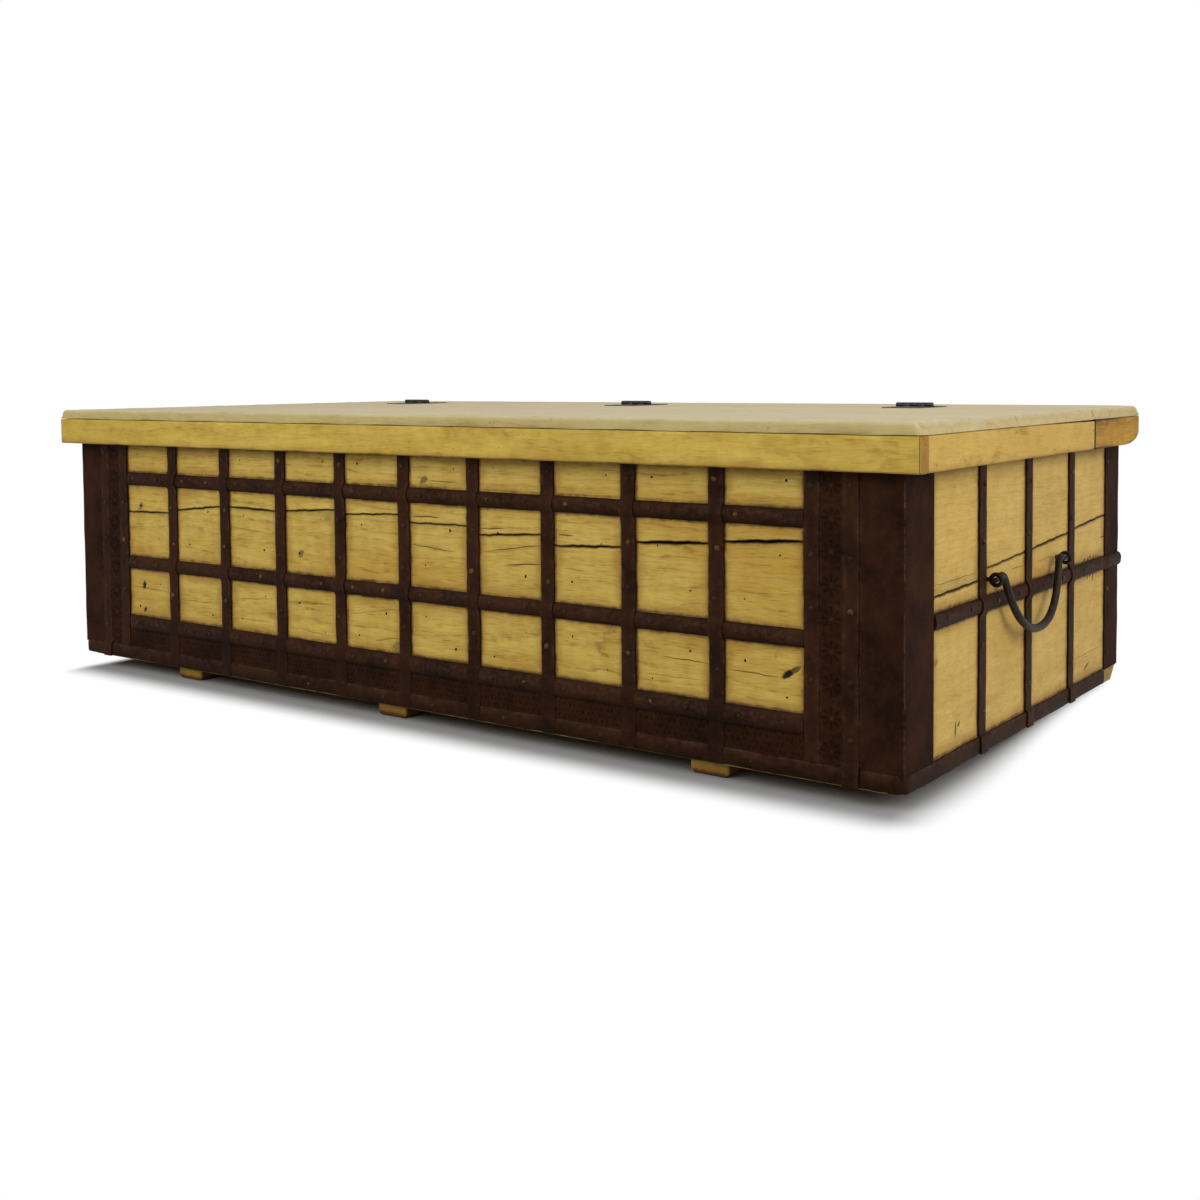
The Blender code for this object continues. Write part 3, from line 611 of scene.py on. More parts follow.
# Its stain and dark colours also paint shade on the runners' lower edges and sides.
RUNNER_WOOD = replace(
    BATTEN_WOOD, name="runner_honey_wood", light=Colour(172, 144, 56), deep=Colour(140, 108, 34),
    stain=Colour(132, 68, 16), grime=Colour(66, 30, 11),
)
TOP_WOOD = Wood(
    "top_pale_wood", Slot.PALE_WOOD, Colour(192, 180, 146), Colour(180, 164, 126),
    Colour(156, 136, 94), heart=(0.0, -0.2, 0.2), side=(1.04, 0.99, 0.67), ring=14.0 * MM,
    contrast=0.18, roughness=0.6, dashes=0.35, end_grain=(1.1, 1.08, 1.28),
    amber=Colour(190, 172, 128),
)
REAR_TOP_WOOD = replace(TOP_WOOD, name="rear_pale_wood", heart=(0.0, 0.1, 0.1))
FIXED_TOP_WOOD = replace(TOP_WOOD, name="fixed_pale_wood", heart=(0.0, 0.3, 0.14))
RAIL_WOOD = replace(
    FRONT_WOOD, name="rail_honey_wood", light=Colour(217, 187, 86), deep=Colour(180, 146, 47),
    late=Colour(156, 118, 40), heart=(0.0, -0.5, 0.34), contrast=0.12, dashes=0.35,
    amber=Colour(164, 126, 34), end_grain=(0.62, 0.46, 0.3),
)
END_RAIL_WOOD = replace(
    RAIL_WOOD, name="end_rail_honey_wood", grain=Axis.Y, heart=(0.6, 0.0, 0.36),
    light=Colour(220, 184, 96), deep=Colour(191, 152, 63), end_grain=None, dashes=0.16,
    amber=Colour(182, 138, 50), fibres=0.28,
)
RETURN_RAIL_WOOD = replace(
    END_RAIL_WOOD, name="return_rail_honey_wood", light=Colour(198, 150, 42),
    deep=Colour(148, 100, 8), late=Colour(110, 68, 14), dashes=0.7, contrast=0.3,
    amber=Colour(152, 100, 16),
)
STRAP_IRON = Iron("strap_rusty_iron", Slot.STRAP_IRON)
PLATE_IRON = Iron(
    "plate_rusty_iron", Slot.STRAP_IRON, dark=Colour(31, 17, 10), brown=Colour(57, 34, 21),
    roughness=0.62, metallic=0.05, gloss=0.03, rusting=0.3,
)
EMBOSSED_IRON = replace(
    STRAP_IRON, name="embossed_rusty_iron", dark=Colour(29, 14, 6), brown=Colour(51, 28, 13),
    roughness=0.58, pits=0.3, gloss=0.04,
)
NAIL_IRON = replace(
    STRAP_IRON, name="nail_rusty_iron", brown=Colour(52, 33, 23), worn=Colour(118, 89, 46),
    spread=0.5, metallic=0.05, roughness=0.46, gloss=0.13,
)
HANDLE_IRON = Iron(
    "handle_forged_iron", Slot.HANDLE_IRON, dark=Colour(22, 15, 10), brown=Colour(36, 26, 18),
    rust=Colour(58, 37, 22), worn=Colour(78, 66, 54), metallic=0.12, roughness=0.42, pits=0.7,
    rusting=0.45, gloss=0.15,
)
HINGE_STEEL = Iron(
    "hinge_dark_steel", Slot.HINGE_STEEL, dark=Colour(40, 40, 42), brown=Colour(58, 56, 56),
    rust=Colour(66, 52, 44), worn=Colour(128, 126, 124), metallic=0.6, roughness=0.34, pits=0.2,
    rusting=0.25, gloss=0.4,
)
BLACK_NAIL = replace(
    STRAP_IRON, name="board_nail_iron", dark=Colour(22, 15, 12), brown=Colour(36, 25, 20),
    rusting=0.2,
)


def drift(places: np.ndarray, wavelength: float, seed: float) -> np.ndarray:
    """Smooth wandering along a line.

    Args:
        places: Where along the line, in metres.
        wavelength: How long one swing is.
        seed: Which of the wanderings.

    Returns:
        Values between about -1 and 1.
    """
    turn = np.asarray(places) * (math.tau / wavelength)
    first = np.sin(turn + seed)
    second = np.sin(1.71 * turn + 2.3 * seed + 1.0)
    third = np.sin(2.93 * turn + 4.1 * seed + 2.0)
    return (first + 0.6 * second + 0.4 * third) / 2.0


def spaced(low: float, high: float, step: float) -> np.ndarray:
    """Even places from low to high, about a step apart."""
    return np.linspace(low, high, max(2, round((high - low) / step) + 1))


class Bench:
    """Blender's modelling operators, used on one piece at a time."""

    @staticmethod
    def take(obj: bpy.types.Object) -> None:
        """Makes one object the only selected and the active one.

        Args:
            obj: The object.
        """
        bpy.ops.object.select_all(action="DESELECT")
        obj.select_set(True)
        bpy.context.view_layer.objects.active = obj

    @staticmethod
    def primitive(name: str, add: Callable[..., set[str]], **settings: object) -> bpy.types.Object:
        """Adds a primitive with nothing else selected.

        Args:
            name: The piece's name.
            add: The operator that adds it.
            settings: The operator's settings.

        Returns:
            The primitive.
        """
        bpy.ops.object.select_all(action="DESELECT")
        add(**settings)
        obj = bpy.context.object
        obj.name = obj.data.name = name
        return obj

    @staticmethod
    def places(obj: bpy.types.Object) -> np.ndarray:
        """The places of a piece's points.

        Args:
            obj: The piece.

        Returns:
            The places, one to a row.
        """
        flat = np.empty(len(obj.data.vertices) * 3)
        obj.data.vertices.foreach_get("co", flat)
        return flat.reshape(-1, 3)

    @staticmethod
    def sheet(
        name: str, points: np.ndarray, fields: dict[str, np.ndarray] | None = None
    ) -> bpy.types.Object:
        """A grid whose points are drawn out to their places.

        Args:
            name: The piece's name.
            points: Places by row and column. Columns by rows faces outwards.
            fields: Numbers to store on the points, by row and column.

        Returns:
            The sheet.
        """
        rows, columns = points.shape[:2]
        obj = Bench.primitive(
            name, bpy.ops.mesh.primitive_grid_add, size=2.0,
            x_subdivisions=columns - 1, y_subdivisions=rows - 1,
        )
        drawn = (Bench.places(obj) + 1.0) / 2.0
        column = np.rint(drawn[:, 0] * (columns - 1)).astype(int)
        row = np.rint(drawn[:, 1] * (rows - 1)).astype(int)
        obj.data.vertices.foreach_set("co", points[row, column].ravel())
        for key, numbers in (fields or {}).items():
            stored = obj.data.attributes.new(key, "FLOAT", "POINT")
            stored.data.foreach_set("value", numbers[row, column].astype(np.float32))
        obj.data.update()
        return obj

    @staticmethod
    def close(obj: bpy.types.Object) -> None:
        """Welds a rolled sheet's seam, fills its ends and turns its faces outwards.

        Args:
            obj: The sheet.
        """
        Bench.take(obj)
        bpy.ops.object.mode_set(mode="EDIT")
        bpy.ops.mesh.select_all(action="SELECT")
        bpy.ops.mesh.remove_doubles(threshold=WELD)
        bpy.ops.mesh.fill_holes(sides=0)
        bpy.ops.mesh.select_all(action="SELECT")
        bpy.ops.mesh.normals_make_consistent(inside=False)
        bpy.ops.object.mode_set(mode="OBJECT")

    @staticmethod
    def loft(
        name: str, rings: np.ndarray, fields: dict[str, np.ndarray] | None = None
    ) -> bpy.types.Object:
        """A closed form through rings of points.

        Args:
            name: The piece's name.
            rings: Places by ring and by point round the ring.
            fields: Numbers to store on the points.

        Returns:
            The form.
        """
        rolled = {
            key: np.concatenate([numbers, numbers[:, :1]], axis=1)
            for key, numbers in (fields or {}).items()
        }
        obj = Bench.sheet(name, np.concatenate([rings, rings[:, :1]], axis=1), rolled)
        Bench.close(obj)
        return obj

    @staticmethod
    def apply(obj: bpy.types.Object, kind: str, settings: dict) -> None:
        """Adds a modifier and applies it.

        Args:
            obj: The piece.
            kind: The modifier's type.
            settings: Its properties.
        """
        modifier = obj.modifiers.new(kind.lower(), kind)
        for key, value in settings.items():
            setattr(modifier, key, value)
        Bench.take(obj)
        bpy.ops.object.modifier_apply(modifier=modifier.name)

    @staticmethod
    def thicken(obj: bpy.types.Object, thickness: float) -> None:
        """Gives a sheet its thickness, behind its face."""
        Bench.apply(obj, "SOLIDIFY", {"thickness": thickness, "offset": -1.0})

    @staticmethod
    def ease(obj: bpy.types.Object, width: float) -> None:
        """Eases a piece's sharp edges."""
        Bench.apply(obj, "BEVEL", {"width": width, "segments": 2, "limit_method": "ANGLE"})

    @staticmethod
    def cut(obj: bpy.types.Object, tool: bpy.types.Object) -> None:
        """Cuts a tool's shape out of a piece and throws the tool away."""
        Bench.apply(obj, "BOOLEAN", {"operation": "DIFFERENCE", "solver": "EXACT", "object": tool})
        bpy.data.objects.remove(tool)

    @staticmethod
    def block(name: str, low: Vector, high: Vector, bevel: float = 0.0) -> bpy.types.Object:
        """A box between two corners with its edges eased.

        Args:
            name: The piece's name.
            low: The lowest corner.
            high: The highest corner.
            bevel: How far the edges are eased.

        Returns:
            The block.
        """
        obj = Bench.primitive(name, bpy.ops.mesh.primitive_cube_add, size=1.0)
        middle, size = (low + high) / 2, high - low
        obj.data.transform(Matrix.Translation(middle) @ Matrix.Diagonal((*size, 1.0)))
        if bevel:
            bpy.ops.object.mode_set(mode="EDIT")
            bpy.ops.mesh.select_all(action="SELECT")
            bpy.ops.mesh.bevel(offset=bevel, segments=2, affect="EDGES")
            bpy.ops.object.mode_set(mode="OBJECT")
        return obj

    @staticmethod
    def join(name: str, parts: Sequence[bpy.types.Object]) -> bpy.types.Object:
        """Makes several parts one piece.

        Args:
            name: The piece's name.
            parts: What it is made of.

        Returns:
            The piece.
        """
        Bench.take(parts[0])
        for part in parts:
            part.select_set(True)
        if len(parts) > 1:
            bpy.ops.object.join()
        parts[0].name = parts[0].data.name = name
        return parts[0]

    @staticmethod
    def copies(
        name: str, template: bpy.types.Object, places: Sequence[Matrix]
    ) -> bpy.types.Object:
        """Copies a small form to many places and joins the copies.

        Args:
            name: The piece's name.
            template: The form, about the origin. It is used up.
            places: Where the copies go.

        Returns:
            The piece.
        """
        made = []
        for place in places:
            obj = bpy.data.objects.new(name, template.data.copy())
            obj.data.transform(place)
            bpy.context.scene.collection.objects.link(obj)
            made.append(obj)
        bpy.data.objects.remove(template)
        return Bench.join(name, made)

    @staticmethod
    def deliver(
        obj: bpy.types.Object, finish: Finish, body: Body, nodes: Sequence[str] = (),
        angle: float = 38.0,
    ) -> None:
        """Dresses a piece and hangs it on its body.

        Args:
            obj: The piece.
            finish: What it is made of.
            body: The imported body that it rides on.
            nodes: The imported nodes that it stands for.
            angle: Edges sharper than this stay sharp, in degrees.
        """
        Bench.take(obj)
        bpy.ops.object.shade_smooth_by_angle(angle=math.radians(angle))
        obj.data.materials.clear()
        obj.data.materials.append(finish.material())
        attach(obj, body.value)
        if nodes:
            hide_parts(*nodes)
        LOG.info("%s: %d faces on %s", obj.name, len(obj.data.polygons), body.value)


def outward_frame(place: Vector, normal: Vector, turn: float, size: float) -> Matrix:
    """Where a small form goes that stands on a surface.

    Args:
        place: The foot of the form.
        normal: The direction that its Z takes.
        turn: How far it is turned about that direction.
        size: How large it is.

    Returns:
        The matrix.
    """
    standing = normal.to_track_quat("Z", "Y").to_matrix().to_4x4()
    spin = Matrix.Rotation(turn, 4, "Z")
    return Matrix.Translation(place) @ standing @ spin @ Matrix.Scale(size, 4)


def stud(radius: float, rise: float, sides: int = 9) -> bpy.types.Object:
    """A hammered nail head: a dome cut from a ball and drawn out of round.

    Args:
        radius: The head's radius.
        rise: How high it stands.
        sides: How many sides it has.

    Returns:
        The head, about the origin.
    """
    ball = bpy.ops.mesh.primitive_uv_sphere_add
    obj = Bench.primitive("stud", ball, segments=sides, ring_count=6, radius=radius)
    bpy.ops.object.mode_set(mode="EDIT")
    bpy.ops.mesh.select_all(action="SELECT")
    bpy.ops.mesh.bisect(
        plane_co=(0, 0, -0.3 * radius), plane_no=(0, 0, 1), use_fill=True, clear_inner=True
    )
    bpy.ops.mesh.select_all(action="SELECT")
    bpy.ops.transform.resize(value=(1.0, 0.94, rise / radius), center_override=(0, 0, 0))
    bpy.ops.object.mode_set(mode="OBJECT")
    return obj


Span = tuple[float, float]


@dataclass
class Layout:
    """Planes, levels and places of the chest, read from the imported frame."""

    front: float
    back: float
    end: float
    rail: float
    top: float
    tuck: float
    foot: float
    trim: float
    straps: list[Span]
    end_straps: list[Span]
    joints: dict[str, Vector]
    foot_lift: float = 4.0 * MM
    strap_width: float = 20.6 * MM
    end_strap_shares: tuple[float, ...] = (-0.2087, 0.0, 0.2209)

    @classmethod
    def read(cls, frame: dict) -> Layout:
        """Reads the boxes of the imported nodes.

        Args:
            frame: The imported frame.

        Returns:
            The layout.
        """
        front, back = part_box("front_upper_board")[0].y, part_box("back_upper_board")[1].y
        boxes = [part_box(f"front_strap_{i}") for i in range(1, 10)]
        middle, half = (front + back) / 2, cls.strap_width / 2
        places = [middle + share * (back - front) for share in cls.end_strap_shares]
        return cls(
            front=front,
            back=back,
            end=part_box("right_end_upper_board")[1].x,
            rail=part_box("lid_front_rail")[0].z,
            top=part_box("lid_front_board")[1].z,
            tuck=boxes[0][1].z,
            foot=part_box("foot_band")[1].z + cls.foot_lift,
            trim=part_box("front_right_corner_trim")[0].x,
            straps=[(low.x, high.x) for low, high in boxes],
            end_straps=[(place - half, place + half) for place in places],
            joints={joint["name"]: Vector(joint["pos_m"]) for joint in frame["joints"]},
        )

    @staticmethod
    def _between(first: float, uprights: Sequence[Span], last: float) -> list[Span]:
        """The spans that uprights leave between two edges."""
        edges = [first, *(edge for pair in uprights for edge in pair), last]
        return list(zip(edges[0::2], edges[1::2]))

    @property
    def bays(self) -> list[Span]:
        """The spans between the uprights of the front, from left to right."""
        return self._between(-self.trim, self.straps, self.trim)

    @property
    def end_bays(self) -> list[Span]:
        """The spans between the uprights of an end, from front to back."""
        first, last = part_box("front_right_corner_plate")[1].y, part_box("rear_right_corner_plate")[0].y
        return self._between(first, self.end_straps, last)


@dataclass(frozen=True)
class Band:
    """A half-round band: its level, width and height."""

    level: float
    width: float
    height: float

    @classmethod
    def of(cls, node: str) -> Band:
        """Reads the section of a band of the front from its node's box."""
        low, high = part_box(node)
        return cls((low.z + high.z) / 2, high.z - low.z, (high - low).y)

    def rise(self, heights: np.ndarray, clearance: float) -> np.ndarray:
        """How far the band stands out at some heights, with a clearance over it, 0 beside it."""
        share = (heights - self.level) / (self.width / 2 + clearance)
        return (self.height + clearance) * np.sqrt(np.clip(1.0 - share**2, 0.0, 1.0))


@dataclass(frozen=True)
class Lane:
    """Cracks along one line of the grain.

    Each crack is (start, end, height at its start, height at its end, opening), in millimetres.
    """

    cracks: tuple[tuple[float, float, float, float, float], ...]

    def height(self, places: np.ndarray) -> np.ndarray:
        """The lane's height.

        Args:
            places: Places along the wall.

        Returns:
            The height at each place.
        """
        ends = sorted(p for a, b, za, zb, _ in self.cracks for p in ((a, za), (b, zb)))
        line = np.interp(places, [e[0] * MM for e in ends], [e[1] * MM for e in ends])
        return line + 0.6 * MM * drift(places, 41 * MM, 1.0) + 0.3 * MM * drift(places, 13 * MM, 2.0)

    def opening(self, places: np.ndarray) -> np.ndarray:
        """How wide the cracks are open.

        Args:
            places: Places along the wall.

        Returns:
            The opening at each place.
        """
        wide = np.zeros_like(places)
        for start, end, _, _, opening in self.cracks:
            share = np.clip((places / MM - start) / (end - start), 0.0, 1.0)
            wide = np.maximum(wide, opening * MM * np.sin(math.pi * share) ** 0.45)
        return wide


@dataclass(frozen=True)
class Knot:
    """A knot or bruise in a board: its place, reach and depth, in millimetres."""

    along: float
    height: float
    reach: float
    rise: float
    depth: float
    stain: float = 1.0
    slope: float = 0.35
    fade: float = 2.6

    @property
    def deep(self) -> bool:
        """Whether the boards are divided more finely round it."""
        return self.depth > 1.0


@dataclass
class PlankWall:
    """A wall of two boards, with cracks and knots, and a rim of dirt and painted shade beside the iron
    and under the lid.
    """

    wall: Wall
    stem: str
    finish: Wood
    face: float
    span: Span
    split: Lane
    iron_top: float
    lid_edge: float
    upper_lanes: tuple[Lane, ...]
    lower_lanes: tuple[Lane, ...]
    knots: tuple[Knot, ...]
    uprights: Sequence[float]
    levels: Sequence[float]
    step: float = 3.0 * MM
    fine_step: float = 1.2 * MM
    split_least: float = 0.7 * MM
    lip: float = 1.4 * MM
    crack_least: float = 0.12 * MM
    crack_seen: float = 0.15 * MM
    crack_black: float = 0.5 * MM
    crack_margin: float = 4.0 * MM
    unevenness: float = 0.25 * MM
    thickness: float = 20.0 * MM

    def _stations(
        self, low: np.ndarray, high: np.ndarray, lanes: Sequence[Lane], places: np.ndarray
    ) -> list[tuple[np.ndarray, np.ndarray, np.ndarray]]:
        """Rows of a board that its edges and cracks ask for.

        Args:
            low: The board's lower edge at each place.
            high: Its upper edge.
            lanes: The cracks in it, from the lowest up.
            places: Places along the wall.

        Returns:
            Height, depth and darkness of each row.
        """
        none = np.zeros_like(places)
        # Board edges at the split are darkened: painted shade in the gap.
        rows = [(low, none + self.lip, none + 0.9), (low + self.lip, none, none + 0.3)]
        for lane in lanes:
            half = np.maximum(lane.opening(places) / 2, self.crack_least)
            line = np.clip(lane.height(places), low + self.crack_margin, high - self.crack_margin)
            cracked = half > self.crack_seen
            # Open cracks are darkened: painted shade inside them.
            dark = cracked * np.clip(half / self.crack_black, 0.0, 1.0)
            deep = cracked * (0.3 * MM + 6.5 * half)
            lips = 0.42 * dark
            rows += [(line - half, none, lips), (line, deep, dark), (line + half, none, lips)]
        return rows + [(high - self.lip, none, none + 0.3), (high, none + self.lip, none + 0.9)]

    def _near(self, along: np.ndarray, height: np.ndarray) -> np.ndarray:
        """How close points are to the edge of an iron or of the lid, for the rims of dirt and painted
        shade.

        Args:
            along: Coordinates along the wall.
            height: Coordinates up the wall.

        Returns:
            1 at the edge, 0 out of its reach.
        """
        # Painted shade under the lid, with dirt: the rim runs down from the lid's edge and fades three
        # times faster above it.
        above, under = height - self.iron_top, self.lid_edge - height
        near = np.minimum(np.where(under > 0.0, under, -3.0 * under), REACH)
        for edge in self.uprights:
            near = np.minimum(near, np.hypot(along - edge, np.maximum(above, 0.0)))
        for edge in self.levels:
            near = np.minimum(near, np.abs(height - edge))
        return 1.0 - near / REACH

    def _knotted(self, along: np.ndarray, height: np.ndarray) -> tuple[np.ndarray, np.ndarray]:
        """Stain and depth of the knots at each point.

        Args:
            along: Coordinates along the wall.
            height: Coordinates up the wall.

        Returns:
            The stain and the depth.
        """
        stain, deep = np.zeros_like(height), np.zeros_like(height)
        for knot in self.knots:
            side, rise = along / MM - knot.along, height / MM - knot.height
            away = np.hypot(side / knot.reach, (rise - knot.slope * side) / knot.rise)
            away = away + 0.12 * np.sin(5.0 * np.arctan2(rise, side) + knot.along)
            stain = np.maximum(stain, knot.stain * np.exp(-np.maximum(away - 0.9, 0.0) * knot.fade))
            deep = np.maximum(deep, knot.depth * MM * np.clip(1.2 - away, 0.0, 1.0) ** 0.6)
        return stain, deep

    def _shares(self, before: np.ndarray, after: np.ndarray, places: np.ndarray) -> list[float]:
        """Where rows go between two others: close together at the deep knots.

        Args:
            before: The height of the lower row at each place.
            after: The height of the upper row.
            places: Places along the wall.

        Returns:
            Shares of the way from the lower to the upper row.
        """
        gap = max(float(np.mean(after - before)), WELD)
        knots = [
            (knot, *(float(np.interp(knot.along * MM, places, row)) for row in (before, after)))
            for knot in self.knots
            if knot.deep
        ]
        shares, share = [], 0.0
        while True:
            close = any(
                abs(a + (b - a) * share - knot.height * MM) < 1.8 * knot.rise * MM
                for knot, a, b in knots
            )
            step = (self.fine_step if close else 1.25 * self.step) / gap
            share += step
            if share > 1.0 - 0.5 * step:
                return shares
            shares.append(share)

    def _thicken(self, board: bpy.types.Object, fields: Sequence[str]) -> None:
        """Gives a board its thickness, flat and clean behind.

        Args:
            board: The board's face.
            fields: The numbers stored on it.
        """
        count = len(board.data.vertices)
        Bench.thicken(board, self.thickness)
        solid = Bench.places(board)
        solid[count:] = solid[:count]
        solid[count:, self.wall.value[1].value] = self.face - self.wall.outside * self.thickness
        board.data.vertices.foreach_set("co", solid.ravel())
        for key in fields:
            stored = board.data.attributes[key].data
            numbers = np.empty(len(stored), np.float32)
            stored.foreach_get("value", numbers)
            numbers[count:] = 0.0
            stored.foreach_set("value", numbers)
        board.data.update()

    def _board(
        self, part: str, low: np.ndarray, high: np.ndarray, lanes: Sequence[Lane],
        places: np.ndarray,
    ) -> None:
        """Makes one board between two edges.

        Args:
            part: Which of the two boards.
            low: Its lower edge at each place.
            high: Its upper edge.
            lanes: The cracks in it, from the lowest up.
            places: Places along the wall.
        """
        stations = self._stations(low, high, lanes, places)
        rows, flat = [stations[0]], np.zeros_like(places)
        for before, after in zip(stations, stations[1:]):
            for share in self._shares(before[0], after[0], places):
                rows.append((before[0] + (after[0] - before[0]) * share, flat, flat))
            rows.append(after)
        height, deep, dark = (np.array(column) for column in zip(*rows))
        along = np.broadcast_to(places, height.shape)
        stain, hollow = self._knotted(along, height)
        fields = {"grime": np.maximum(stain, dark), "near": self._near(along, height)}
        deep = deep + hollow + self.unevenness * (1.0 + drift(along + 3 * height, 160 * MM, 5.0))
        points = self.wall.points(along, self.face - self.wall.outside * deep, height)
        if self.wall.turned:
            points = points[:, ::-1]
            fields = {key: numbers[:, ::-1] for key, numbers in fields.items()}
        board = Bench.sheet(f"{self.wall.name.lower()}_{part}_plank", points, fields)
        self._thicken(board, list(fields))
        Bench.deliver(board, self.finish, Body.CHEST, [f"{self.stem}_{part}_board"])

    def build(self) -> None:
        """Makes the upper and the lower board."""
        close = [
            spaced((knot.along - 2 * knot.reach) * MM, (knot.along + 2 * knot.reach) * MM, 1.0 * MM)
            for knot in self.knots
            if knot.deep
        ]
        places = np.clip(np.concatenate([spaced(*self.span, self.step), *close]), *self.span)
        places = np.unique(places.round(5))
        line = self.split.height(places)
        half = np.maximum(self.split.opening(places), self.split_least) / 2
        foot = np.full_like(places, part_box(f"{self.stem}_lower_board")[0].z)
        head = np.full_like(places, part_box(f"{self.stem}_upper_board")[1].z)
        self._board("lower", foot, line - half, self.lower_lanes, places)
        self._board("upper", line + half, head, self.upper_lanes, places)


Edges = tuple[tuple[float, float, float], ...]


@dataclass
class Planks:
    """The four walls and the small nails in their boards, in millimetres.

    A split is given as its heights at both edges of each bay and its opening there.
    """

    layout: Layout
    front_split: Edges = (
        (255.9, 258.4, 1.4), (264.1, 274.4, 1.6), (275.0, 273.4, 1.9), (275.0, 281.7, 1.5),
        (276.5, 281.7, 1.1), (271.3, 272.9, 1.0), (262.1, 268.8, 1.5), (255.9, 261.0, 2.0),
        (268.2, 273.4, 3.2), (276.5, 283.2, 3.2),
    )
    front_upper: tuple[Lane, ...] = (
        Lane(((12, 64, 280.6, 281.1, 1.2), (135, 178, 270.8, 272.9, 1.0),
              (258, 287, 271.3, 269.8, 1.0))),
        Lane(((-469, -392, 331.0, 331.5, 0.5), (36, 98, 330.1, 328.1, 0.8))),
    )
    front_lower: tuple[Lane, ...] = (
        Lane(((-358, -260, 108.3, 110.4, 0.5), (-235, -136, 108.3, 101.1, 0.6),
              (-62, -12, 104.2, 113.5, 0.7), (382, 481, 112.5, 113.5, 0.45))),
        Lane(((-603, -506, 137.2, 134.7, 0.7), (-485, -384, 125.4, 126.9, 0.6),
              (-358, -260, 137.2, 145.0, 0.6), (-235, -136, 144.5, 147.5, 0.6),
              (-111, -12, 137.2, 152.7, 0.5), (15, 62, 129.0, 124.9, 0.5),
              (415, 481, 135.7, 134.1, 0.9), (504, 574, 131.0, 129.0, 0.9))),
        Lane(((175, 236, 226.5, 231.6, 1.1), (266, 309, 230.1, 227.0, 0.5))),
        Lane(((-356, -270, 245.6, 240.4, 0.45), (12, 93, 243.0, 236.7, 0.9),
              (136, 236, 240.4, 255.9, 0.8))),
    )
    front_knots: tuple[Knot, ...] = (
        Knot(589, 137.0, 11.5, 3.3, 2.8, 0.78, 0.6, 6.0),
        Knot(582.5, 133.0, 6.4, 4.0, 4.4, 1.0, 0.5, 7.0),
        Knot(568, 152, 1.6, 6.0, 0.3, 0.28, 0.9),
        Knot(-17, 101, 10, 6, 0.6, 0.45), Knot(-569, 141, 3.5, 5, 2.0), Knot(-568, 102, 3, 3, 1.5),
        Knot(-205, 215, 5, 5, 1.1, 0.5), Knot(-150, 266, 7, 4, 0.2, 0.4),
        Knot(36, 330, 6, 4, 1.1, 0.6), Knot(-574, 266, 5, 5, 1.1, 0.5),
        Knot(-175, 130, 12, 9, 0.2, 0.2),
    )
    end_split: Edges = (
        (220.8, 223.9, 2.2), (235.2, 241.9, 1.0), (243.0, 250.7, 2.0), (253.8, 262.1, 1.8),
    )
    end_upper: tuple[Lane, ...] = (Lane(((-293, -159, 233.7, 234.7, 0.7),)),)
    end_lower: tuple[Lane, ...] = (
        Lane(((190, 326, 74.3, 75.3, 0.6),)),
        Lane(((-55, -6, 225.9, 225.9, 0.6), (27, 130, 224.9, 226.0, 0.5),
              (295, 326, 231.1, 232.1, 0.9))),
    )
    end_knots: tuple[Knot, ...] = (
        Knot(-223, 62, 1.6, 7.0, 1.1, 0.95), Knot(-214, 67, 3.0, 2.2, 1.1, 0.8),
        Knot(-280, 148, 6.0, 4.0, 0.2, 0.45), Knot(232, 207, 3.6, 1.8, 1.1, 0.85),
        Knot(246, 206, 1.8, 3.0, 1.1, 0.9), Knot(256, 208, 3.2, 1.5, 1.1, 0.8, -0.4),
        Knot(270, 206, 2.0, 3.2, 1.1, 0.9), Knot(281, 207, 3.4, 1.6, 1.1, 0.7),
        Knot(243, 182, 1.5, 3.0, 1.1, 0.9), Knot(254, 183, 3.0, 1.8, 1.1, 0.8),
        Knot(266, 180, 1.6, 4.6, 1.1, 0.9, 0.8),
        Knot(242, 56, 9.0, 1.6, 1.1, 0.8), Knot(361, 27, 12.0, 9.0, 0.6, 0.5),
    )
    back_split: Lane = Lane(((-720, -100, 226.0, 227.0, 1.1), (-60, 720, 226.5, 225.0, 1.0)))
    back_upper: tuple[Lane, ...] = (Lane(((-310, 240, 301.0, 306.0, 0.7),)),)
    back_lower: tuple[Lane, ...] = (
        Lane(((-520, -40, 120.0, 112.0, 0.8), (130, 610, 132.0, 139.0, 0.6))),
    )
    back_knots: tuple[Knot, ...] = (
        Knot(-722, 34, 20.0, 12.0, 0.6, 0.75), Knot(722, 34, 20.0, 12.0, 0.6, 0.75),
    )
    nail_levels: tuple[float, ...] = (347.7, 265.2, 214.6, 145.0, 108.3)
    nail_shares: tuple[float, ...] = (0.24, 0.25, 0.74, 0.79, 0.21)

    @staticmethod
    def _split(bays: Sequence[Span], edges: Edges) -> Lane:
        """The split between two boards, from its heights at the edges of each bay."""
        rows = zip(bays, edges)
        return Lane(tuple((low / MM, high / MM, *edge) for (low, high), edge in rows))

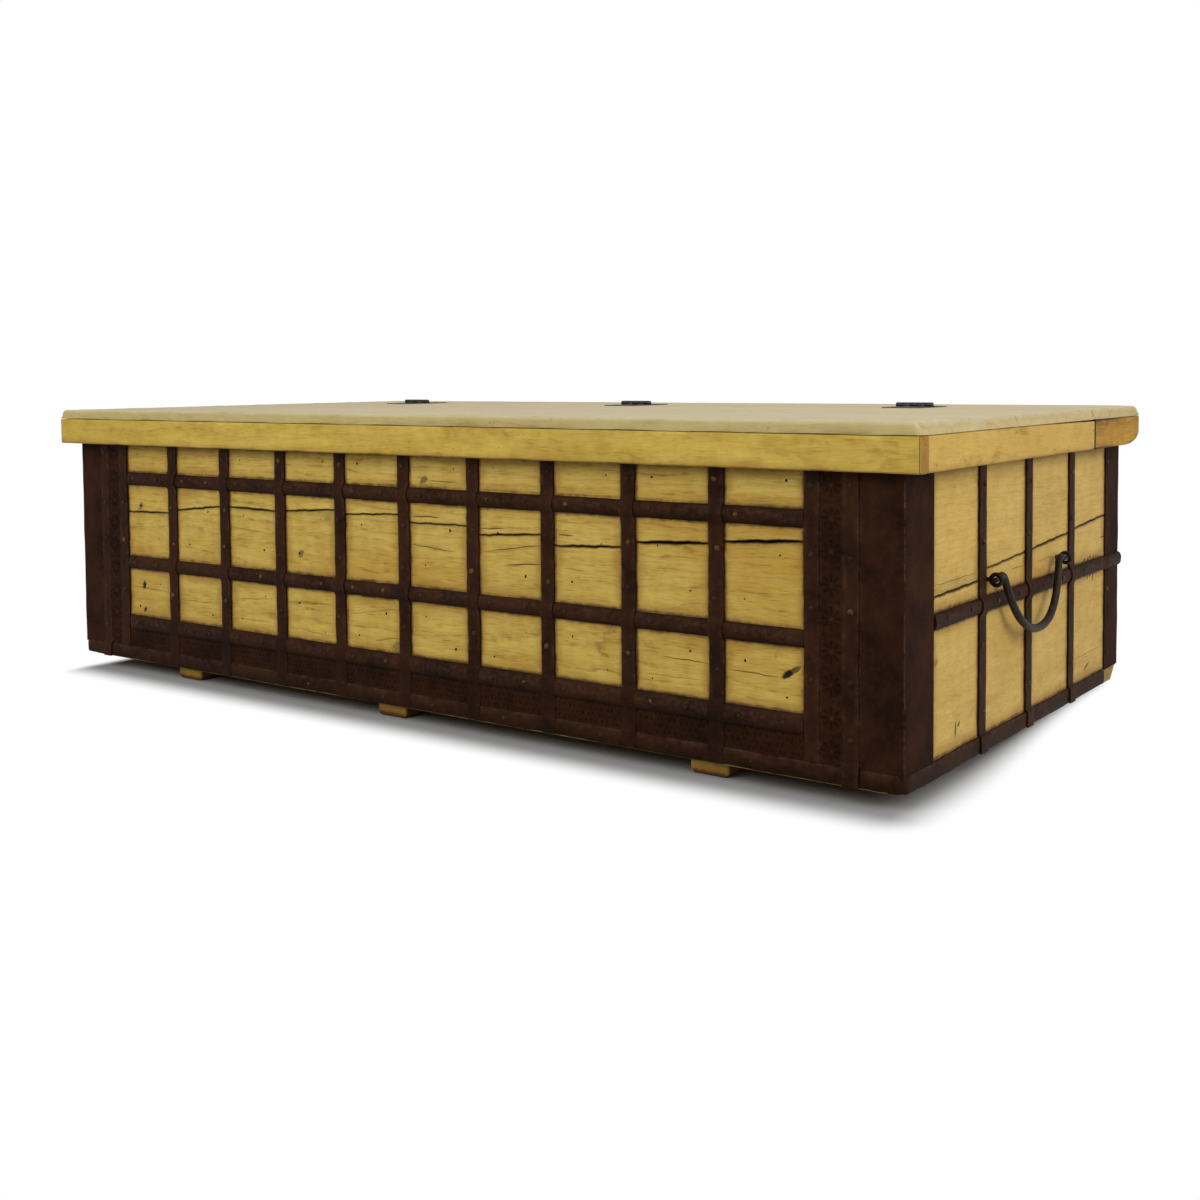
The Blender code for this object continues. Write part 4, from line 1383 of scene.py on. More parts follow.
    def build(self) -> None:
        """Makes the walls and the nails in them."""
        lay = self.layout
        whole, under_lid = (-lay.end, lay.end), (lay.tuck, lay.rail)
        bands = [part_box(f"front_{name}_band") for name in ("base", "lower", "upper")]
        PlankWall(
            Wall.FRONT, "front", FRONT_WOOD, lay.front, whole,
            self._split(lay.bays, self.front_split), *under_lid,
            self.front_upper, self.front_lower, self.front_knots,
            uprights=[edge for bay in lay.bays for edge in bay],
            levels=[edge.z for pair in bands for edge in pair], step=3.8 * MM,
        ).build()
        low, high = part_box("right_end_lower_board")
        band = EndIron.band
        for side in Side:
            PlankWall(
                Wall[side.name], f"{side.word}_end",
                END_WOOD if side is Side.RIGHT else LEFT_END_WOOD,
                side.value * lay.end, (low.y, high.y),
                self._split(lay.end_bays, self.end_split), *under_lid,
                self.end_upper, self.end_lower, self.end_knots,
                uprights=[edge for bay in lay.end_bays for edge in bay],
                levels=(lay.foot, band.level - band.width / 2, band.level + band.width / 2),
            ).build()
        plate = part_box("rear_right_corner_plate")[0].x
        PlankWall(
            Wall.BACK, "back", INNER_WOOD, lay.back, whole, self.back_split, *under_lid,
            self.back_upper, self.back_lower, self.back_knots,
            uprights=(-plate, plate), levels=(lay.foot,), step=8.0 * MM,
        ).build()
        self._nails()

    def _nails(self) -> None:
        """Small dark nails in the boards of the front, two to a window and in zigzag."""
        places = []
        for i, (low, high) in enumerate(self.layout.bays):
            for j, (level, share) in enumerate(zip(self.nail_levels, self.nail_shares)):
                part = share if i % 2 == 0 else 1.0 - share
                x = low + (high - low) * (part + 0.05 * math.sin(3.1 * i + 1.7 * j))
                z = (level + 2.0 * math.sin(2.3 * i + j)) * MM
                foot = Vector((x, self.layout.front + 0.4 * MM, z))
                size = 1.0 + 0.3 * math.sin(5.0 * i + 2.0 * j)
                drawn = Matrix.Diagonal((1.0, 1.0 + 0.5 * math.sin(2.0 * i + j) ** 2, 1.0, 1.0))
                turn = 0.35 * math.sin(1.3 * i + j)
                places.append(outward_frame(foot, Wall.FRONT.normal, turn, size) @ drawn)
        nails = Bench.copies("front_board_nails", stud(1.3 * MM, 0.8 * MM, 7), places)
        Bench.deliver(nails, BLACK_NAIL, Body.CHEST)


@dataclass(frozen=True)
class Station:
    """A place on a run of strip: where its back is, and which way is out."""

    place: Vector
    out: Vector

    def on(self, side: Side) -> Station:
        """The same place on one end of the chest."""
        mirror = Matrix.Diagonal((side.value, 1.0, 1.0))
        return Station(mirror @ self.place, mirror @ self.out)


def run_round(
    corners: Sequence[Span], level: float, offset: float, step: float, bend: int = 5,
    rounding: float = 0.0,
) -> list[Station]:
    """A level run that keeps outside a row of corners.

    Args:
        corners: Plan corners of the body, passed with the body on the left.
        level: How high it runs.
        offset: How far outside it runs.
        step: How far apart the stations are.
        bend: Steps round each corner.
        rounding: How far the corners are rounded off.

    Returns:
        The stations.
    """
    points = [Vector((x, y, 0.0)) for x, y in corners]
    runs = list(zip(points, points[1:]))
    ways = [(b - a).normalized() for a, b in runs]
    normals = [Vector((way.y, -way.x, 0.0)) for way in ways]
    rise = UP * level
    stations: list[Station] = []
    for i, (a, b) in enumerate(runs):
        last = i + 1 == len(runs)
        start, end = a + ways[i] * rounding * (i > 0), b - ways[i] * rounding * (not last)
        for share in spaced(0.0, 1.0, min(1.0, step / (end - start).length)):
            place = start.lerp(end, float(share))
            stations.append(Station(place + normals[i] * offset + rise, normals[i]))
        if not last:
            middle = b - (normals[i] + normals[i + 1]) * rounding
            for k in range(1, bend):
                turn = k / bend * math.pi / 2
                out = normals[i] * math.cos(turn) + normals[i + 1] * math.sin(turn)
                stations.append(Station(middle + out * (offset + rounding) + rise, out))
    return stations


def sweep(
    name: str, stations: Sequence[Station], section: Sequence[tuple[float, float, float]],
    wobble: float = 0.25 * MM, seed: float = 0.0, ease: float = 0.0,
) -> bpy.types.Object:
    """A strip whose section follows a level run.

    Args:
        name: The piece's name.
        stations: The run.
        section: (out, up, wear and painted highlight) round the section.
        wobble: How unevenly the strip was hammered.
        seed: Which of the wanderings it follows.
        ease: How long its rounded ends are.

    Returns:
        The strip.
    """
    lengths = [0.0]
    for a, b in zip(stations, stations[1:]):
        lengths.append(lengths[-1] + (b.place - a.place).length)
    along = np.array(lengths)
    rings = np.zeros((len(stations), len(section), 3))
    wear, hollow = np.zeros(rings.shape[:2]), np.zeros(rings.shape[:2])
    to_end = np.minimum(along, along[-1] - along)
    full = np.sqrt(1.0 - (1.0 - np.clip(to_end / ease, 0.05, 1.0)) ** 2) if ease else 1.0
    foot = min(up for _, up, _ in section)
    tall = max(up for _, up, _ in section) - foot
    torn = 2.5 * wobble * np.maximum(drift(along, 24 * MM, seed + 7.0), 0.0)
    for j, (out, up, worn) in enumerate(section):
        swell = full * (1.0 + (wobble / (3 * MM)) * drift(along, 62 * MM, seed + 0.4 * j))
        # Painted shade with dirt: the lowest third of the section is darkened as hollow.
        lower = max(0.0, 1.0 - 3.0 * (up - foot) / tall)
        hollow[:, j] = 0.5 * lower
        rise = up + 2.0 * wobble * drift(along, 210 * MM, seed) - torn * lower**2
        rise = rise + 0.7 * wobble * drift(along, 37 * MM, seed + j)
        for i, station in enumerate(stations):
            rings[i, j] = station.place + station.out * (out * swell[i]) + UP * rise[i]
        wear[:, j] = worn * (0.6 + 0.4 * drift(along, 83 * MM, seed + j))
    return Bench.loft(name, rings, {"wear": np.clip(wear, 0.0, 1.0), "hollow": hollow})


def half_round(width: float, height: float, steps: int = 12) -> list[tuple[float, float, float]]:
    """Section of a half-round band, worn and with a painted highlight along the upper side of its crest.

    Args:
        width: The band's width.
        height: How far its crest stands out.
        steps: Steps round it.

    Returns:
        (out, up, wear and painted highlight) round the section.
    """
    made = []
    for i in range(steps + 1):
        turn = math.pi * i / steps
        # Painted highlight: the upper side of the crest is marked worn, so it shows lighter.
        crest = max(0.0, math.sin(turn - 0.25)) ** 5
        made.append((height * math.sin(turn), -width / 2 * math.cos(turn), 0.1 + 0.45 * crest))
    return made


@dataclass(frozen=True)
class Strap:
    """An upright strap that is joggled over what it crosses.

    Its ledges are (top, rise) of what stands out below a level, and thin is the level below which
    it is hammered thin, and how thin.
    """

    name: str
    wall: Wall
    middle: float
    face: float
    low: float
    high: float
    bands: tuple[Band, ...] = ()
    ledges: tuple[Span, ...] = ()
    width: float = 20.6 * MM
    thickness: float = 2.2 * MM
    thin: Span = (0.0, 0.0)
    seed: float = 0.0
    step: float = 1.6 * MM
    ease: float = 0.7 * MM
    soften: int = 5

    def _offset(self, heights: np.ndarray) -> np.ndarray:
        """How far the strap's back stands off the wall.

        Args:
            heights: Heights along the whole strap.

        Returns:
            The distance at each height.
        """
        raw = np.full_like(heights, SEAT)
        for top, rise in self.ledges:
            raw = np.maximum(raw, np.where(heights < top, rise, SEAT))
        for band in self.bands:
            raw = np.maximum(raw, band.rise(heights, 0.2 * MM))
        kernel = np.hanning(2 * self.soften + 1)
        padded = np.pad(raw, self.soften, mode="edge")
        return np.maximum(raw, np.convolve(padded, kernel / kernel.sum(), mode="valid"))

    def _thick(self, heights: np.ndarray) -> np.ndarray:
        """How thick the strap is.

        Args:
            heights: Where, up the strap.

        Returns:
            The thickness at each height.
        """
        level, least = self.thin
        if not least:
            return np.full_like(heights, self.thickness)
        return np.interp(heights, [level - 4 * MM, level + 9 * MM], [least, self.thickness])

    def crest(self, height: float) -> Vector:
        """A place on the strap's face, for a nail.

        Args:
            height: How high it is.

        Returns:
            The place.
        """
        line, heights = spaced(self.low, self.high, self.step), np.array([height])
        stand = np.interp(heights, line, self._offset(line)) + self._thick(heights)
        out = self.face + self.wall.outside * stand
        return Vector(self.wall.points(np.array([self.middle]), out, heights)[0])

    def build(self) -> bpy.types.Object:
        """Makes the strap.

        Returns:
            The strap.
        """
        heights = spaced(self.low, self.high, self.step)
        offset, thick = self._offset(heights), self._thick(heights)
        slope = np.gradient(offset, heights)
        lean = np.hypot(slope, 1.0)
        out, rise, proud = 1.0 / lean, -slope / lean, thick / self.thickness
        section = (
            (-1, 0.0, 0.0, 0.1), (-1, 0.65, 0.0, 0.5), (-1, 1.0, self.ease, 0.6),
            (-0.35, 1.1, 0.0, 0.1), (0.35, 1.1, 0.0, 0.1),
            (1, 1.0, self.ease, 0.6), (1, 0.65, 0.0, 0.5), (1, 0.0, 0.0, 0.1),
        )
        sway = 0.7 * MM * drift(heights, 260 * MM, self.seed)
        rings = np.zeros((len(heights), len(section), 3))
        wear, hollow = np.zeros(rings.shape[:2]), np.zeros(rings.shape[:2])
        for j, (share, lift, inset, worn) in enumerate(section):
            ragged = 0.45 * MM * drift(heights, 48 * MM, self.seed + 3 * share)
            across = self.middle + sway + share * (self.width / 2 - inset + ragged)
            stand = self.face + self.wall.outside * (offset + lift * thick * out)
            rings[:, j] = self.wall.points(across, stand, heights + lift * thick * rise)
            patchy = np.clip(0.55 + 0.5 * drift(heights, 90 * MM, self.seed + j), 0.0, 1.0)
            wear[:, j] = worn * patchy * proud
            punched = 0.4 + 0.4 * drift(heights, 8 * MM, self.seed + 2.3 * j)
            # Painted shade along the strap's sides, darkest at the wood; where it is hammered thin the
            # punched mottling is dirt.
            hollow[:, j] = max(0.0, 1.0 - lift) * proud + punched * (1.0 - proud)
        return Bench.loft(self.name, rings, {"wear": wear, "hollow": np.clip(hollow, 0.0, 1.0)})


class Relief(Enum):
    """What is punched into an embossed strip."""

    ROSETTES = "rosettes"
    STIPPLE = "stipple"

    @property
    def dirt(self) -> float:
        """How dark the punched hollows are."""
        return 0.5 if self is Relief.ROSETTES else 0.6

    def depth(self, across: np.ndarray, along: np.ndarray, half: float) -> np.ndarray:
        """Height of the relief at places on a strip.

        Args:
            across: Distance from the strip's middle line.
            along: Distance along the strip.
            half: Half the strip's width.

        Returns:
            The height, below 0 where the strip is punched in.
        """
        if self is Relief.ROSETTES:
            return self._rosettes(across, along, half)
        return self._stipple(across, along)

    @staticmethod
    def _rosettes(across: np.ndarray, along: np.ndarray, half: float) -> np.ndarray:
        """Eight-petalled flowers in a row, with beads between them and a rim on both sides.

        Args:
            across: Distance from the strip's middle line.
            along: Distance along the strip.
            half: Half the strip's width.

        Returns:
            The height.
        """
        pitch = 36.5 * MM
        local = (along / pitch - np.floor(along / pitch) - 0.5) * pitch
        radius, turn = np.hypot(across, local), np.arctan2(local, across)
        petal = np.mod(turn + math.pi / 8, math.pi / 4) - math.pi / 8
        reach, aside = radius * np.cos(petal), radius * np.sin(petal)
        share = np.clip((reach - 3.6 * MM) / (9.4 * MM), 0.0, 1.0)
        wide = 2.5 * MM * np.sin(math.pi * share) ** 0.7 + 1e-6
        hollow = np.clip(1.0 - (aside / wide) ** 2, 0.0, 1.0) * (share > 0) * (share < 1)
        boss = np.clip(1.0 - (radius / (2.6 * MM)) ** 2, 0.0, 1.0)
        ring = np.exp(-(((radius - 15.0 * MM) / (0.9 * MM)) ** 2))
        between = np.hypot(np.abs(across) - 9.0 * MM, np.abs(local) - pitch / 2)
        bead = np.clip(1.0 - (between / (2.0 * MM)) ** 2, 0.0, 1.0)
        rim = np.exp(-(((np.abs(across) - half + 1.4 * MM) / (0.7 * MM)) ** 2))
        return MM * (0.55 * boss + 0.25 * ring + 0.35 * rim - 1.0 * hollow - 0.7 * bead)

    @staticmethod
    def _stipple(across: np.ndarray, along: np.ndarray) -> np.ndarray:
        """Rows of slanted punch marks, each row shifted against the next.

        Args:
            across: Distance from the strip's middle line.
            along: Distance along the strip.

        Returns:
            The height.
        """
        pitch, row_pitch = 8.2 * MM, 7.6 * MM
        row = np.floor(across / row_pitch + 0.5)
        cell = along / pitch + np.where(np.mod(row, 2) < 0.5, 0.0, 0.5)
        number = np.floor(cell)
        local = (cell - number - 0.5) * pitch + 1.1 * MM * np.sin(number * 2.7 + row * 1.9)
        up = across - row * row_pitch + 0.8 * MM * np.sin(number * 4.1 + row)
        lean = 0.5 * np.sin(number * 1.3 + row * 2.2)
        size = 1.0 + 0.25 * np.sin(number * 5.3 + row * 3.7)
        mark = ((local - lean * up) / (1.7 * MM * size)) ** 2 + (up / (3.3 * MM * size)) ** 2
        burr = 0.2 * MM * np.exp(-((mark - 1.3) ** 2) * 6)
        return -0.9 * MM * np.clip(1.0 - mark, 0.0, 1.0) + burr


@dataclass
class Ironwork:
    """What the irons of the front and of the ends have in common."""

    layout: Layout
    studs: list[Matrix] = field(default_factory=list)
    stud_radius: float = 3.7 * MM
    stud_rise: float = 2.2 * MM
    stud_change: Span = (7.3, 2.1)
    foot_rise: float = 3.6 * MM
    plate: float = 1.5 * MM

    def _stud(self, place: Vector, wall: Wall, number: float, size: float = 1.0) -> None:
        """Notes a nail head.

        Args:
            place: Where it is.
            wall: The wall that it stands on.
            number: Its number, from which its own size and turn come.
            size: How large it is.
        """
        swing, turn = (change * number for change in self.stud_change)
        drawn = size * (1.0 + 0.14 * math.sin(swing))
        self.studs.append(outward_frame(place, wall.normal, turn, drawn))

    def _nails(self, name: str) -> None:
        """Makes all the nail heads that were noted, as one piece."""
        nails = Bench.copies(name, stud(self.stud_radius, self.stud_rise), self.studs)
        Bench.deliver(nails, NAIL_IRON, Body.CHEST, angle=60.0)

    def _corner_plate(self, row: str, side: Side, corners: Sequence[Span], foot: float) -> None:
        """A thin plate bent round an upright corner, a little dented, and worn with a painted highlight
        at the bend.

        Args:
            row: Whether it is a front or a rear plate.
            side: Which end of the chest it is on.
            corners: Plan corners, passed with the body on the left on the right-hand side.
            foot: The height of its lower edge.
        """
        node = f"{row}_{side.word}_corner_plate"
        ordered = corners if side is Side.RIGHT else corners[::-1]
        stations = run_round(ordered, 0.0, SEAT + self.plate, 5 * MM, 6)
        heights = spaced(foot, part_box(node)[1].z, 6 * MM)
        points = np.zeros((len(heights), len(stations), 3))
        wear = np.zeros(points.shape[:2])
        for j, station in enumerate(stations):
            # Painted highlight along the bend, marked as wear.
            bend = 4.0 * abs(station.out.x * station.out.y)
            dent = 0.35 * MM * drift(heights + 0.6 * j * MM, 120 * MM, 1.0 + 0.05 * j)
            rim = j in (0, len(stations) - 1)
            for i, height in enumerate(heights):
                place = station.place + station.out * (0.0 if rim else max(dent[i], -0.2 * MM))
                points[i, j] = place + UP * height
            ragged = 0.5 + 0.5 * drift(heights, 70 * MM, 0.2 * j)
            wear[:, j] = np.clip(max(bend, 0.4 if rim else 0.0) * ragged, 0.0, 1.0)
        plate = Bench.sheet(f"{row}_{side.word}_bent_plate", points, {"wear": wear})
        Bench.thicken(plate, self.plate)
        Bench.deliver(plate, PLATE_IRON, Body.CHEST, [node])


@dataclass
class FrontIron(Ironwork):
    """The front's bands, straps, embossed strips, corner plates and foot band."""

    strap_nails: tuple[float, ...] = (346.6, 268.3, 212.5, 132.1)
    bay_nails: Span = (0.20, 0.74)
    base_width: float = 24.2 * MM
    base_strip_rise: float = 1.8 * MM
    foot_thickness: float = 3.0 * MM
    foot_rounding: float = 9.0 * MM
    plate_lap: float = 2.5 * MM
    trim_strap: float = 19.6 * MM
    strip_face: float = 1.5 * MM
    strip_sheet: float = 0.4 * MM
    strip_lap: float = 2.0 * MM

    def build(self) -> None:
        """Makes all of the front's ironwork."""
        lay = self.layout
        self._bands()
        self._straps()
        self._base_strip()
        for side in Side:
            self._trim(side)
            low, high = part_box(f"front_{side.word}_corner_plate")
            inner, outer = min((low.x, high.x), key=abs), side.value * lay.end
            corners = [(inner, lay.front), (outer, lay.front), (outer, high.y)]
            self._corner_plate("front", side, corners, max(low.z, lay.foot - self.plate_lap))
        self._foot_band()
        self._nails("front_iron_nails")

    def _band(self, name: str) -> Band:
        """Section of a band. The base's node also holds its strip, so its top gives its level.

        Args:
            name: Which band.

        Returns:
            The section.
        """
        if name != "base":
            return Band.of(f"front_{name}_band")
        low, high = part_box("front_base_band")
        return Band(high.z - self.base_width / 2, self.base_width, high.y - low.y)

    def _bands(self) -> None:
        """The two half-round bands and the half-round of the base."""
        front = self.layout.front
        for number, name in enumerate(("upper", "lower", "base")):
            node, band = f"front_{name}_band", self._band(name)
            low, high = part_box(node)
            run = run_round([(low.x, front), (high.x, front)], band.level, SEAT, 5 * MM)
            section = half_round(band.width, band.height)
            wobble = 0.08 * MM if name == "base" else 0.2 * MM
            obj = sweep(f"front_{name}_half_round", run, section, wobble, number, 9 * MM)
            Bench.deliver(obj, STRAP_IRON, Body.CHEST, [node])
            crest = front - SEAT - band.height
            for i, (start, end) in enumerate(self.layout.bays):
                for j, share in enumerate(self.bay_nails):
                    x = start + (end - start) * (share + 0.03 * math.sin(4 * i + 2 * j + number))
                    place = Vector((x, crest, band.level + 0.8 * MM))
                    self._stud(place, Wall.FRONT, 3 * i + j + number, 0.82)

    def _straps(self) -> None:
        """The nine straps."""
        lay = self.layout
        bands = tuple(self._band(name) for name in ("upper", "lower", "base"))
        base = bands[2]
        ledges = ((base.level, self.base_strip_rise + SEAT), (lay.foot + SEAT, self.foot_rise))
        for i, (low, high) in enumerate(lay.straps, 1):
            node = f"front_strap_{i}"
            strap = Strap(
                f"front_upright_strap_{i}", Wall.FRONT, (low + high) / 2, lay.front,
                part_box(node)[0].z, lay.tuck, bands, ledges, seed=1.9 * i,
                thin=(base.level + base.width / 2, 0.45 * MM),
            )
            Bench.deliver(strap.build(), STRAP_IRON, Body.CHEST, [node])
            for j, level in enumerate(self.strap_nails):
                place = strap.crest((level + 2.5 * math.sin(3 * i + j)) * MM)
                place.x += 2.2 * MM * math.sin(2 * i + 3 * j)
                self._stud(place, Wall.FRONT, 5 * i + j)

    def _embossed(
        self, name: str, node: str, relief: Relief, low: Span, high: Span, step: float
    ) -> None:
        """An embossed strip on the front. Rosettes run up it, and stippling along it.

        Args:
            name: The piece's name.
            node: The node that it stands for.
            relief: What is punched into it.
            low: X and Z of its lowest corner.
            high: X and Z of its highest corner.
            step: How finely it is divided.
        """
        x, z = np.meshgrid(spaced(low[0], high[0], step), spaced(low[1], high[1], step))
        upright = relief is Relief.ROSETTES
        across, along = (x, z) if upright else (z, x)
        start, end = (low[0], high[0]) if upright else (low[1], high[1])
        raised = relief.depth(across - (start + end) / 2, along, (end - start) / 2)
        face = self.layout.front - SEAT - self.strip_face
        fields = {
            "wear": np.clip(raised / (0.5 * MM), 0.0, 1.0) * 0.5,
            "hollow": np.clip(-raised / (0.6 * MM), 0.0, 1.0) * relief.dirt,
        }
        sheet = Bench.sheet(name, Wall.FRONT.points(x, face - raised, z), fields)
        Bench.thicken(sheet, self.strip_sheet)
        Bench.deliver(sheet, EMBOSSED_IRON, Body.CHEST, [node])

    def _base_strip(self) -> None:
        """The stippled strip along the base."""
        low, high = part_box("front_base_band")
        self._embossed(
            "front_base_strip", "front_base_band", Relief.STIPPLE, (low.x, low.z - self.strip_lap),
            (high.x, self._band("base").level - 10 * MM), 1.15 * MM,
        )

    def _trim(self, side: Side) -> None:
        """An embossed strip between two straps, beside a corner plate.

        Args:
            side: Which end of the front it is on.
        """
        lay, node, sign = self.layout, f"front_{side.word}_corner_trim", side.value
        low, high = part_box(node)
        inner, outer = sorted((low.x, high.x), key=abs)
        half = self.trim_strap / 2
        ledge = (lay.foot + SEAT, self.foot_rise)
        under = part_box("foot_band")[0].z - 1.0 * MM
        rows = (
            ("inner", inner + sign * half, max(low.z, ledge[0]), (), self.strap_nails),
            ("outer", outer - sign * half, under, (ledge,), (*self.strap_nails, 70.0)),
        )
        for i, (word, middle, foot, ledges, nails) in enumerate(rows):
            strap = Strap(
                f"front_{side.word}_{word}_trim_strap", Wall.FRONT, middle, lay.front, foot, lay.tuck,
                ledges=ledges, width=self.trim_strap, thickness=2.7 * MM, seed=4.0 + 2 * i + sign,
            )
            Bench.deliver(strap.build(), STRAP_IRON, Body.CHEST, [node])
            for j, level in enumerate(nails):
                place = strap.crest((level + 2.0 * math.sin(i + 2 * j)) * MM)
                self._stud(place, Wall.FRONT, 4 * i + j + sign)
        left, right = sorted((inner + sign * self.trim_strap, outer - sign * self.trim_strap))
        self._embossed(
            f"front_{side.word}_rosette_strip", node, Relief.ROSETTES,
            (left - 0.5 * MM, low.z), (right + 0.5 * MM, lay.tuck), 0.8 * MM,
        )

    def _foot_band(self) -> None:
        """The band bent round the foot of the front and the ends."""
        lay, thick = self.layout, self.foot_thickness
        low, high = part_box("foot_band")
        plan = ((-1, high.y), (-1, lay.front), (1, lay.front), (1, high.y))
        tall = lay.foot - low.z
        # The upper edge is marked worn: a painted highlight as well as wear.
        section = (
            (0.0, 0.0, 0.1), (0.75 * thick, 0.2 * MM, 0.3), (thick, 2.2 * MM, 0.25),
            (1.08 * thick, 0.5 * tall, 0.1), (thick, tall - 3.2 * MM, 0.5),
            (0.72 * thick, tall - 0.5 * MM, 0.85), (0.0, tall, 0.3),
        )
        corners = [(sign * lay.end, y) for sign, y in plan]
        run = run_round(corners, low.z, SEAT, 9 * MM, 8, self.foot_rounding)
        band = sweep("foot_edge_band", run, section, 0.3 * MM, 2.0)
        Bench.deliver(band, STRAP_IRON, Body.CHEST, ["foot_band"])
        for i, (start, end) in enumerate(lay.bays):
            x = start + (end - start) * (0.5 + 0.2 * math.sin(2.0 * i))
            place = Vector((x, lay.front - SEAT - thick, low.z + 0.45 * tall))
            self._stud(place, Wall.FRONT, i + 0.3, 0.75)


@dataclass
class EndIron(Ironwork):
    """The band, straps and rear plates of both ends, and the band behind."""

    stud_radius: float = 3.8 * MM
    stud_change: Span = (5.1, 1.7)
    band: Band = Band(194.5 * MM, 18.6 * MM, 5.0 * MM)
    wrap: float = 45.0 * MM
    lap: float = 2.1 * MM
    ramp: float = 10.0 * MM
    band_nails: Span = (0.24, 0.76)
    strap_nails: tuple[float, ...] = (333.0, 268.0, 152.0, 72.0)
    plate_nails: Span = (25.0 * MM, 95.0 * MM)
    nail_inset: float = 9.0 * MM

    def build(self) -> None:
        """Makes the ironwork of both ends and of the back."""
        for side in Side:
            self._rear_plate(side)
            self._band(side)
            self._straps(side)
        self._back_foot_band()
        self._nails("end_iron_nails")

    def _rear_plate(self, side: Side) -> None:
        """A plate bent round a rear corner, with its nails.

        Args:
            side: Which end of the chest it is on.
        """
        low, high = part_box(f"rear_{side.word}_corner_plate")
        lay, sign = self.layout, side.value
        inner, outer = min((low.x, high.x), key=abs), sign * lay.end
        corners = [(outer, low.y), (outer, lay.back), (inner, lay.back)]
        self._corner_plate("rear", side, corners, low.z)
        margin, pitch = self.plate_nails
        proud = SEAT + self.plate
        for i, height in enumerate(spaced(low.z + margin, lay.rail - margin, pitch)):
            z = float(height)
            back = Vector((inner + sign * self.nail_inset, lay.back + proud, z))
            self._stud(back, Wall.BACK, i)
            edge = Vector((sign * (lay.end + proud), low.y + self.nail_inset, z))
            self._stud(edge, Wall[side.name], i + 0.5, 0.8)

    def _band(self, side: Side) -> None:
        """The half-round band along an end, which laps the rear plate and the back.

        Args:
            side: The end of the chest.
        """
        lay, band = self.layout, self.band
        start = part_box(f"front_{side.word}_corner_plate")[1].y + SEAT
        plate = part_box(f"rear_{side.word}_corner_plate")[0].y
        flat = [(lay.end, start), (lay.end, plate - self.ramp)]
        lapped = [(lay.end, plate), (lay.end, lay.back), (lay.end - self.wrap, lay.back)]
        run = run_round(flat, band.level, SEAT, 7 * MM)
        run += run_round(lapped, band.level, self.lap, 7 * MM)
        stations = [station.on(side) for station in run]
        section, seed = half_round(band.width, band.height), 3.0 + side.value
        obj = sweep(f"{side.word}_end_half_round", stations, section, seed=seed)
        Bench.deliver(obj, STRAP_IRON, Body.CHEST, [f"{side.word}_end_strapwork"])
        crest = side.value * (lay.end + SEAT + band.height)
        for i, (low, high) in enumerate(lay.end_bays):
            for j, share in enumerate(self.band_nails):
                place = Vector((crest, low + (high - low) * share, band.level + 0.6 * MM))
                self._stud(place, Wall[side.name], 2 * i + j, 0.85)

    def _straps(self, side: Side) -> None:
        """The three straps of an end.

        Args:
            side: The end of the chest.
        """
        lay, wall = self.layout, Wall[side.name]
        ledges = ((lay.foot + SEAT, self.foot_rise),)
        for i, (low, high) in enumerate(lay.end_straps, 1):
            strap = Strap(
                f"{side.word}_end_strap_{i}", wall, (low + high) / 2, side.value * lay.end,
                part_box("foot_band")[0].z, lay.tuck, (self.band,), ledges,
                seed=2.7 * i + side.value,
            )
            Bench.deliver(strap.build(), STRAP_IRON, Body.CHEST, [f"{side.word}_end_strapwork"])
            for j, level in enumerate(self.strap_nails):
                place = strap.crest((level + 4.0 * math.sin(2 * i + j)) * MM)
                place.y += 3.5 * MM * math.sin(i + 2 * j)
                self._stud(place, wall, 3 * i + j)

    def _back_foot_band(self) -> None:
        """The straight band along the foot of the back."""
        low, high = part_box("back_foot_band")
        back, middle = self.layout.back, (low.z + high.z) / 2
        run = run_round([(high.x, back), (low.x, back)], middle, SEAT, 9 * MM)
        section = half_round(high.z - low.z, high.y - low.y - SEAT)
        band = sweep("back_foot_edge_band", run, section, seed=5.0)
        Bench.deliver(band, STRAP_IRON, Body.CHEST, ["back_foot_band"])
        for i, x in enumerate(spaced(low.x + 30 * MM, high.x - 30 * MM, 180 * MM)):
            self._stud(Vector((float(x), high.y, middle)), Wall.BACK, i, 0.75)


def rounded_section(half: Span, radii: Span, step: float, arc: int = 4) -> list[Span]:
    """A rectangle with round corners, about its middle.

    Args:
        half: Half its width and half its height.
        radii: The radii of its upper and of its lower corners.
        step: How far apart points on the straight sides are.
        arc: Steps round each corner.

    Returns:
        The points round it.
    """
    corners: list[list[Span]] = []
    for i, (side, rise) in enumerate(((1, 1), (-1, 1), (-1, -1), (1, -1))):
        radius = radii[0] if rise > 0 else radii[1]
        x, y = side * (half[0] - radius), rise * (half[1] - radius)
        turns = [(i + k / arc) * math.pi / 2 for k in range(arc + 1)]
        corners.append([(x + radius * math.cos(t), y + radius * math.sin(t)) for t in turns])
    made: list[Span] = []
    for corner, following in zip(corners, corners[1:] + corners[:1]):
        made += corner
        start, end = corner[-1], following[0]
        count = int(math.dist(start, end) / step)
        shares = [k / count for k in range(1, count)]
        made += [tuple(a + (b - a) * share for a, b in zip(start, end)) for share in shares]
    return made


